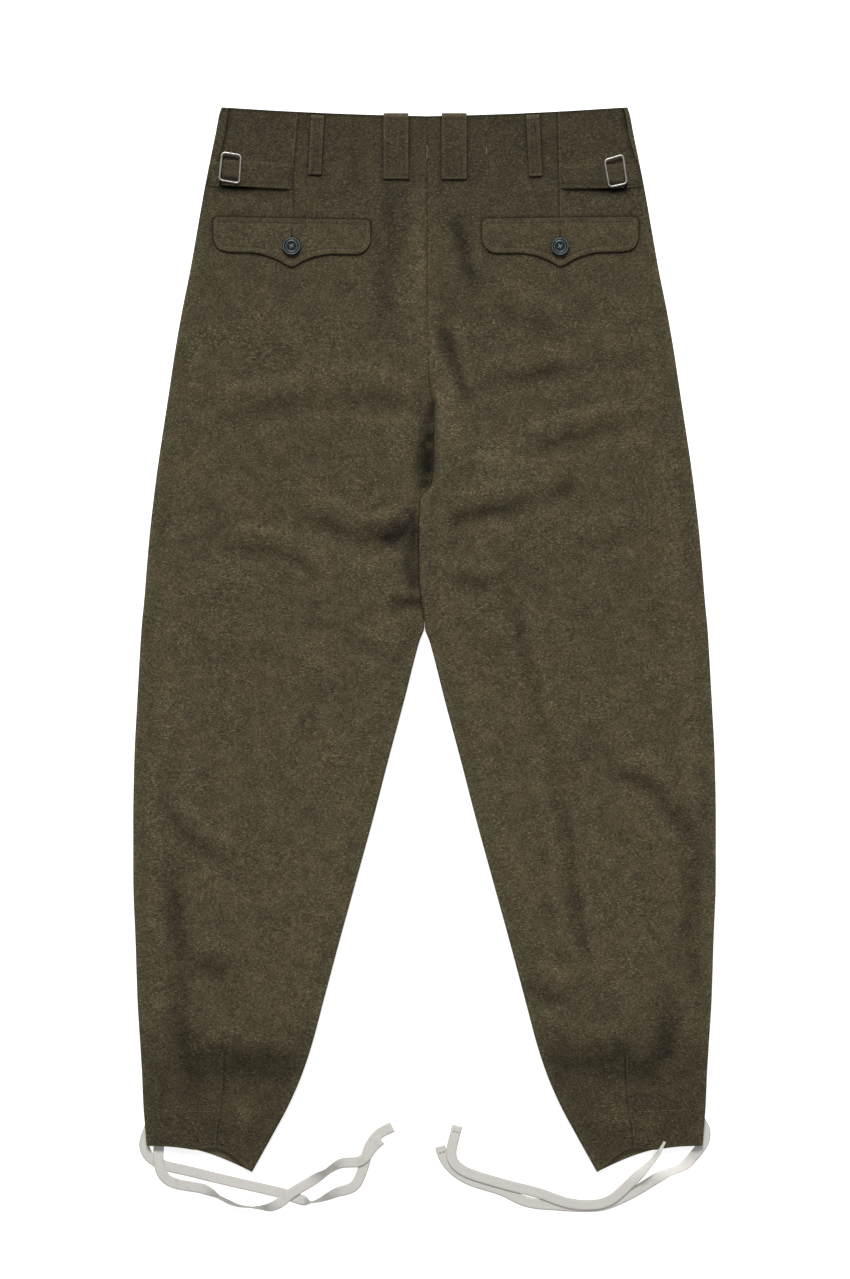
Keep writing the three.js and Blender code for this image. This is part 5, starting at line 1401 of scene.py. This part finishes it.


# A strip with its stitches: two rows beside its long edges, and one across the end of a loop. A buckle tab
# has none.
def layStrip(name):
    x, y, endX, endY, breadth, _ = strips[name]
    loop = name.startswith("belt_loop")
    run = np.hypot(endX - x, endY - y)
    rows, cols = int(run / strip["cell"]), int(breadth / strip["cell"]) + 2
    t = spaced(rows, (0, 2, 0.03), (1, 2, 0.03))[:, None]
    side = 2 * spaced(cols, (0, 1, 0.06), (1, 1, 0.06))[None] - 1
    middle, half, inside, fromStart = stripMiddle(name, t + 0 * side, side + 0 * t)
    # Pale fold of a loop at the waist edge: partly wear, partly painted highlight.
    worn = strip["worn"] * bell((fromStart - 2.5) / 1.4) if loop else 0 * half
    z = middle[..., 2]
    # Painted shade and light: the relief against the strip round it, darker loops and straps, painted shade
    # at a loop's fold and the buckle's painted shadow on a strap.
    tone = np.clip(0.5 * (z - evened(z, 3)), -0.12, 0.1) + strip["loopTone" if loop else "strapTone"]
    tone = tone - (strip["foldTone"] * bell(fromStart / 1.4) if loop else 0)
    for *stroke, reach, depth in strapShades.get(name, ()):
        tone = tone - depth * bell(fromStroke(middle[..., 0], middle[..., 1], *stroke) / reach)
    values = clothValues(half.shape, tone=tone, worn=worn, inside=inside)
    points, faces, spread = clothShell(middle, half, np.minimum(half, strip["half"]), 5, values)
    piece = makePiece(titled(name), points, faces, woolCloth, spread)
    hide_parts(name)
    stitching = []
    inset = 1 - 2 * strip["edge"] / breadth
    t = np.linspace(0.02, 1 - strip["edge"] / run, 120)
    across = np.linspace(-inset, inset, 40)
    lines = {"SeamA": (t, -inset + 0 * t), "SeamB": (t, inset + 0 * t)}
    if loop:
        lines["EndSeam"] = (1 - strip["edge"] / run + 0 * across, across)
    if not name.startswith("buckle"):
        for ending, (along, across) in lines.items():
            line, half, *_ = stripMiddle(name, along, across)
            line[:, 2] += half + strip["stitchUp"]
            seam = sew(titled(name) + ending, line, threads["matched"], radius=strip["stitch"],
                       **stitchRows["piece"])
            stitching.append(seam)
    return piece, stitching


stripPieces = {name: layStrip(name) for name in strips}
print("loops, straps and tabs laid")


def billowOf(x, y):  # share of a flap's billow: 0.6 + 0.4 * soft random heights
    return 0.6 + 0.4 * ripple(x, y, 22, 61)


# Height of a flap's middle over the cloth below: turned edges, a dip along the seam that runs
# inside the edge, and a soft billow between them.
def flapMiddle(row, u, v):
    x, y = flapPlace(row, u, v)
    outline = outlineOf(row)
    flat = np.stack((x, y), axis=-1).reshape(-1, 1, 2)
    inside = np.min(np.linalg.norm(flat - outline[None], axis=2), axis=1).reshape(x.shape)
    z = laidTop(x, y) + flap["gap"] + flap["half"]
    z = z + flap["turnedIn"] * (1 - smooth((inside - flap["seamIn"] + 0.5) / 1.4)) * smooth(inside / 1.2)
    z = z - flap["dip"] * bell((inside - flap["seamIn"]) / flap["dipReach"])
    z = z + flap["billow"] * above(inside, 6, 8) * billowOf(x, y)
    z = z + flap["uneven"] * ripple(x, y, 7, 62)
    return np.stack((x, y, z), axis=-1), inside


# A pocket flap and its seam. Its tone is painted shade and light from its relief, with painted shade
# below the top seam, at its ends and round its button, and its pale rim is partly wear and partly painted
# highlight.
def layFlap(name):
    row = flaps[name]
    u = spaced(flap["columns"], (0, 1.8, 0.02), (1, 1.8, 0.02), (0.5, 0.5, 0.05))[None]
    v = spaced(flap["rows"], (0, 1.2, 0.06), (1, 1.2, 0.06))[:, None]
    middle, inside = flapMiddle(row, u + 0 * v, v + 0 * u)
    x, y, z = np.moveaxis(middle, -1, 0)
    rub = ripple(x, y, 7, 63) * 0.4 + 0.6
    tone = np.clip(0.35 * (z - evened(z, 3)), -0.14, 0.12) + flap["tone"]
    seamShade = flap["seamShade"] * bell(v * flap["seamDepth"] / flap["seamShadeReach"])
    tone = tone - seamShade - flap["endShade"] * bell(np.minimum(u, 1 - u) * flap["width"] / 1.2)
    buttonX, buttonY, _ = buttonPlaces[name.replace("flap", "button")]
    out = np.hypot(x - buttonX, y - buttonY + 0.4)
    tone = tone - flap["buttonShade"] * bell((out - flap["buttonShadeOut"]) / 2)
    values = clothValues(z.shape, tone=tone, inside=inside, worn=flap["worn"] * bell(inside / 3) * rub)
    points, faces, spread = clothShell(middle, flap["half"], flap["rim"], 5, values)
    piece = makePiece(titled(name), points, faces, woolCloth, spread)
    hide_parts(name)
    return piece, layFlapSeam(row, titled(name))


# The seam of a flap: its outline moved in by seamIn along the outline's own normal.
def layFlapSeam(row, label):
    outline = outlineOf(row)
    line = evenLine(outline, 500)
    run = unit(np.roll(line, -4, axis=0) - np.roll(line, 4, axis=0))
    inward = np.stack((-run[:, 1], run[:, 0]), axis=-1)
    middle = line.mean(axis=0)
    inward = inward * np.sign((inward * (middle - line)).sum())
    line = line + flap["seamIn"] * inward
    gap = np.min(np.linalg.norm(line[:, None] - outline[None], axis=2), axis=1)
    line = line[gap > flap["seamIn"] - 0.35]
    z = laidTop(line[:, 0], line[:, 1]) + flap["gap"] + 2 * flap["half"] - flap["stitchDown"]
    seam = sew(label + "Seam", np.column_stack((line, z)), threads["matched"], radius=flap["stitch"],
               **stitchRows["piece"])
    return seam


flapPieces = {name: layFlap(name) for name in flaps}
print("pocket flaps laid")


# Buckles: bent wire round the corners of its outline

buckle = {"radius": 1.1, "corner": 3.6, "inset": 1.35, "steps": 170, "sides": 14, "gap": 0.35}
buckleCorners = {
    "buckle_left": ((-202.6, 488.4), (-182.4, 485.2), (-184.4, 454.8), (-206, 458.4)),
    "buckle_right": ((178.8, 480.2), (198.6, 486), (203, 455), (184, 450.9)),
}


# A closed line round four corners: each corner is the curve (1-t)^2 a + 2 t (1-t) corner + t^2 b.
def roundedLine(corners, inset, radius, count):
    corners = np.array(corners, float)
    middle = corners.mean(axis=0)
    away = corners - middle
    corners = middle + away * (1 - inset * buckle["inset"] / np.linalg.norm(away, axis=1, keepdims=True))
    before, after = np.roll(corners, 1, axis=0), np.roll(corners, -1, axis=0)
    a = corners + unit(before - corners) * radius
    b = corners + unit(after - corners) * radius
    t = np.linspace(0, 1, 14)[None, :, None]
    arcs = (1 - t) ** 2 * a[:, None] + 2 * t * (1 - t) * corners[:, None] + t * t * b[:, None]
    return evenLine(np.concatenate((arcs.reshape(-1, 2), a[:1])), count, endpoint=False)


# The wire keeps a height that follows the cloth below, evened over a quarter of its run.
def bendBuckle(name):
    radius = buckle["radius"]
    line = roundedLine(buckleCorners[name], radius, buckle["corner"], buckle["steps"])
    under = laidTop(line[:, 0], line[:, 1])
    reach = buckle["steps"] // 8
    ground = np.mean([np.roll(under, k) for k in range(-reach, reach + 1)], axis=0)
    z = np.maximum(ground, under) + strip["gap"] + 2 * strip["half"] + buckle["gap"] + radius
    centres = np.column_stack((line, z))
    points, faces = roundAlong(centres, radius, radius, buckle["sides"], closed=True)
    piece = makePiece(titled(name), points, faces, steelWire)
    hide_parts(name)


for buckleName in buckleCorners:
    bendBuckle(buckleName)
print("buckles bent")


# Buttons: a dish with a raised ring, four holes and a cross of thread

button = {"radius": 8.75, "dish": 4.4, "dishHeight": 1.75, "sectors": 96, "gap": 0.5,
          "holeOffset": 1.9, "holeRadius": 0.95, "holeSlope": 0.4, "holeDepth": 1.2,
          "rimWorn": (7.9, 0.5, 0.9), "ringWorn": (5.5, 0.45, 0.75)}  # place, reach and share
buttonTop = columnsOf("out up", [
    (0, 1.75), (4.4, 1.75), (5.0, 2.05), (5.6, 2.35), (6.1, 2.15), (6.7, 1.95), (7.3, 2.5), (7.9, 3.15),
    (8.35, 3.0), (8.75, 2.2)])
buttonFoot = columnsOf("out up", [
    (8.6, 1.4), (8.1, 0.8), (7.2, 0.4), (6.2, 0.1), (5.6, 0), (3, 0), (0.05, 0)])
holeOut = button["holeOffset"] * np.sqrt(2)


# Surface of revolution of the top line, pitted by holeDepth * smooth((holeRadius - distance) /
# holeSlope) at each of four places, and closed by a foot that curves in below.
def turnButton(name):
    x, y, turn = buttonPlaces[name]
    turn = np.radians(turn)
    out = np.concatenate((np.linspace(0.05, button["dish"], 34), np.linspace(4.5, button["radius"], 40)))
    up = lineThrough(buttonTop["out"], buttonTop["up"])(out)
    radius = np.concatenate((out, buttonFoot["out"]))[:, None]
    height = np.concatenate((up, buttonFoot["up"]))[:, None]
    angle = 2 * np.pi * np.arange(button["sectors"])[None] / button["sectors"] + turn
    px, py = radius * np.cos(angle), radius * np.sin(angle)
    z = height + 0 * px
    upper = (np.arange(len(radius)) < len(out))[:, None]
    pit = 0
    for spin in turn + np.pi / 4 + np.pi / 2 * np.arange(4):
        far = np.hypot(px - holeOut * np.cos(spin), py - holeOut * np.sin(spin))
        pit = pit + below(far, button["holeRadius"], button["holeSlope"])
    z = z - np.where(upper, button["holeDepth"] * pit, 0)
    cloth = float(laidTop(np.array([x]), np.array([y]))[0])
    rest = cloth + flap["gap"] + 2 * flap["half"] + flap["billow"] + button["gap"]
    points = np.stack((px + x, py + y, z + rest), axis=-1)
    rows, cols = px.shape
    first, last = lidOf(np.arange(cols)), lidOf((rows - 1) * cols + np.arange(cols))
    faces = np.concatenate((gridQuads(rows, cols, closed=True), first[:, ::-1], last))
    # Pale rim and raised ring: partly worn by rubbing, partly a painted highlight.
    rubbedAndLit = [share * bell((radius - place) / reach) for place, reach, share in
              (button["rimWorn"], button["ringWorn"])]
    worn = np.where(upper, rubbedAndLit[0] + rubbedAndLit[1], 0) + 0 * px
    piece = makePiece(titled(name), points, faces, buttonMaterial, {"worn": np.clip(worn, 0, 1)})
    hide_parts(name)
    return x, y, rest + button["dishHeight"], turn


buttonThread = {"wide": 0.62, "high": 0.36, "rise": 0.38, "riseOver": 0.42, "sink": 0.75, "sides": 12}


# Thread across the holes: two bars that cross, each an arch of rise * (1 - s^4) whose ends sink
# into the holes by sink * |s|^8. The second rises over the first.
def threadButton(name, x, y, z, turn):
    for k in (0, 1):
        a = turn + np.pi / 4 + k * np.pi / 2
        s = np.linspace(-1, 1, 15)
        rise = buttonThread["rise"] + buttonThread["riseOver"] * k
        height = z - buttonThread["sink"] * np.abs(s) ** 8 + rise * (1 - s ** 4)
        centres = np.column_stack((x + s * holeOut * np.cos(a), y + s * holeOut * np.sin(a), height))
        points, faces = roundAlong(centres, buttonThread["wide"], buttonThread["high"], buttonThread["sides"])
        piece = makePiece(titled(name) + "Thread" + "AB"[k], points, faces, threads["blueGrey"])


for buttonName in buttonPlaces:
    threadButton(buttonName, *turnButton(buttonName))
print("buttons sewn on")


# Sewing: hem casings, pocket seams, buttonholes, loose thread ends and the tapes' folded ends

# The outer end of a casing is sewn with khaki thread, the rest with cloth-coloured thread.
casingRun = {"trim": 12, "levelFrom": 240, "level": 0.3, "y": -470.7, "up": 0.08, "paleOut": 212}


# The casing line of a back, drawn nearer to level, in two runs of stitches.
def layCasingSeam(side):
    middle = backs[side][1]
    column = middle.shape[1] // 2
    row = np.argmin(np.abs(middle[:, column, 1] - middle[-1, column, 1] - seams["casing"]))
    trim = casingRun["trim"]
    line = middle[row, trim:-trim].copy()
    start = np.argmin(np.abs(np.abs(line[:, 0]) - casingRun["levelFrom"]))
    line[:, 1] = blend(line[start, 1], line[:, 1], casingRun["level"]) - line[start, 1] + casingRun["y"]
    near = np.argmin(np.abs(middle[:, trim:-trim, 1] - line[:, 1]), axis=0)
    line[:, 2] = middle[near, trim + np.arange(len(near)), 2] + cloth["half"] + casingRun["up"]
    outer = np.abs(line[:, 0]) > casingRun["paleOut"]
    pieces = []
    for label, keep, colour in (("Outer", outer, "khaki"), ("Inner", ~outer, "buttonhole")):
        name = "CasingSeam" + label + side.title()
        seam = sew(name, line[keep], threads[colour], **stitchRows["casing"])
        pieces.append(seam)
    return pieces


# A round thread with that radius along points.
def runThread(name, centres, radius, material, closed=False):
    points, faces = roundAlong(centres, radius, radius, 8, closed)
    piece = makePiece(name, points, faces, material)
    return piece


# Near-black threads at the fold of the hem, laid as painted shade of small pits there: x, y, length, lean in
# degrees
hemPitShades = {
    "left": ((-226.6, -499.2, 3.2, 70), (-211.8, -503.4, 2.8, 20), (-202.6, -504.4, 2.2, 40)),
    "right": ((223.6, -499.4, 3.2, 110),),
}
hemPitShade = {"radius": 0.55, "rise": 0.25}


# Each is a short near-black thread on the cloth whose middle rises by rise * cos(pi t / length).
def layTacks(side):
    pieces = []
    for number, (x, y, long, lean) in enumerate(hemPitShades[side]):
        t = np.linspace(-0.5, 0.5, 12) * long
        px, py = x + t * np.cos(np.radians(lean)), y + t * np.sin(np.radians(lean))
        middle = backs[side][1]
        near = np.argmin(np.hypot(middle[..., 0] - x, middle[..., 1] - y))
        z = middle[..., 2].ravel()[near] + cloth["half"]
        line = np.column_stack((px, py, z + hemPitShade["rise"] * np.cos(np.pi * t / long)))
        name = "HemPitShadeThread" + side.title() + str(number)
        pieces.append(runThread(name, line, hemPitShade["radius"], threads["dark"]))
    return pieces


# Stitches below the fronts: along the hem casing, and along the fly on the left one.
def layFrontSeams(side):
    middle = fronts[side][1]
    edge = np.abs(middle[np.argmin(np.abs(middle[:, 20, 1] - frontCasing["y"])), :, 0])
    x = np.linspace(edge.min() + 12, edge.max() - 5, 90) * (-1 if side == "left" else 1)
    lines = [("FrontCasing", x, casingHeight(x))]
    if side == "left":
        lines.append(("FlySeam", *flySeamLine()))
    pieces = []
    for label, x, y in lines:
        line = np.column_stack((x, y, 0.26 + 0 * x))
        seam = sew(label + side.title(), line, threads["khaki"], **stitchRows["front"])
        pieces.append(seam)
    return pieces


pocketSeams = {  # x, y, endX, endY of sewing through the back above the pockets
    "left": ((-123.5, 430.5, -54.5, 429.5), (-19.5, 429, -4.5, 429)),
    "right": ((137.5, 439, 157.5, 438.6),),
}
looseEnds = {"left": ((2.2, 495, 2.9, 481),), "right": ((61.4, 493, 61.9, 485.6),)}
looseEnd = {"radius": 0.27, "sway": 0.35, "turns": 5.5, "up": 0.3, "rise": 0.25}


# Straight rows of stitches that lie on the back.
def layPocketSeams(side):
    pieces = []
    for number, (x, y, endX, endY) in enumerate(pocketSeams[side]):
        t = np.linspace(0, 1, 60)
        px, py = blend(x, endX, t), blend(y, endY, t)
        line = np.column_stack((px, py, laidTop(px, py) + 0.06))
        name = "PocketSeam" + side.title() + str(number)
        seam = sew(name, line, threads["khaki"], **stitchRows["pocket"])
        pieces.append(seam)
    return pieces


# Loose ends of thread: they sway by sway * sin(turns * t) and rise by rise * sin(pi t).
def layLooseEnds(side):
    pieces = []
    for x, y, endX, endY in looseEnds[side]:
        t = np.linspace(0, 1, 24)
        px = blend(x, endX, t) + looseEnd["sway"] * np.sin(looseEnd["turns"] * t)
        py = blend(y, endY, t)
        height = laidTop(px, py) + looseEnd["up"] + looseEnd["rise"] * np.sin(np.pi * t)
        centres = np.column_stack((px, py, height))
        pieces.append(runThread("LooseThread" + side.title(), centres, looseEnd["radius"], threads["grey"]))
    return pieces


hole = {"long": 9.6, "wide": 1.5, "square": 0.7, "bead": 0.42, "up": 14.4, "down": 0.6, "slit": 0.75,
        "slitShare": 0.47, "ridges": 30, "ridge": 0.08}


def flapTop(x, y):  # the flap's upper face between its seams
    soft = flap["billow"] * billowOf(x, y) + flap["uneven"] * ripple(x, y, 7, 62)
    return laidTop(x, y) + flap["gap"] + 2 * flap["half"] + soft


# A buttonhole: a ridged bead of thread round a slit, and a near-black thread along the slit as painted shade
# of its opening. The bead's sides are drawn straight by wide / 2 * |cos|^square.
def sewButtonhole(name):
    x, y, _ = buttonPlaces[name]
    t = np.linspace(0, 2 * np.pi, 90, endpoint=False)
    px = x + hole["wide"] / 2 * np.sign(np.cos(t)) * np.abs(np.cos(t)) ** hole["square"]
    py = y + hole["up"] - hole["down"] + hole["long"] / 2 * np.sin(t)
    height = flapTop(px, py) + 0.12 + hole["ridge"] * np.sin(hole["ridges"] * t)
    centres = np.column_stack((px, py, height))
    bead = runThread(titled(name) + "HoleBead", centres, hole["bead"], threads["buttonhole"], closed=True)
    s = np.linspace(-1, 1, 22)
    sx, sy = x + 0 * s, y + hole["up"] - hole["down"] + s * hole["long"] * hole["slitShare"]
    line = np.column_stack((sx, sy, flapTop(sx, sy) + 0.1))
    slit = runThread(titled(name) + "HoleSlitShade", line, hole["slit"], threads["dark"])
    return [bead, slit]


def sewTapeEnd(name, material):  # a row of stitches across the tape, foldedEnd back from its end
    _, centres, across, up, length = tapePieces[name]
    k = np.argmin(np.abs(length - length[-1] + tape["foldedEnd"]))
    s = np.linspace(-0.86, 0.86, 24)[:, None] * tape["width"] / 2
    line = centres[k] + s * across[k] + (tape["thickness"] / 2 + 0.2) * up[k]
    seam = sew(titled(name) + "EndSeam", line, material, **stitchRows["tapeEnd"])
    return seam


sewn = {side: [*layCasingSeam(side), *layTacks(side), *layPocketSeams(side), *layLooseEnds(side)]
        for side in ("left", "right")}
frontSeams = {side: layFrontSeams(side) for side in ("left", "right")}
holes = {name: sewButtonhole(name) for name in buttonPlaces}
tapeEndSeams = {"hem_tape_right_outer": sewTapeEnd("hem_tape_right_outer", threads["dark"]),
                "hem_tape_right_inner": sewTapeEnd("hem_tape_right_inner", threads["grey"])}
print("sewing done")
bpy.context.view_layer.update()
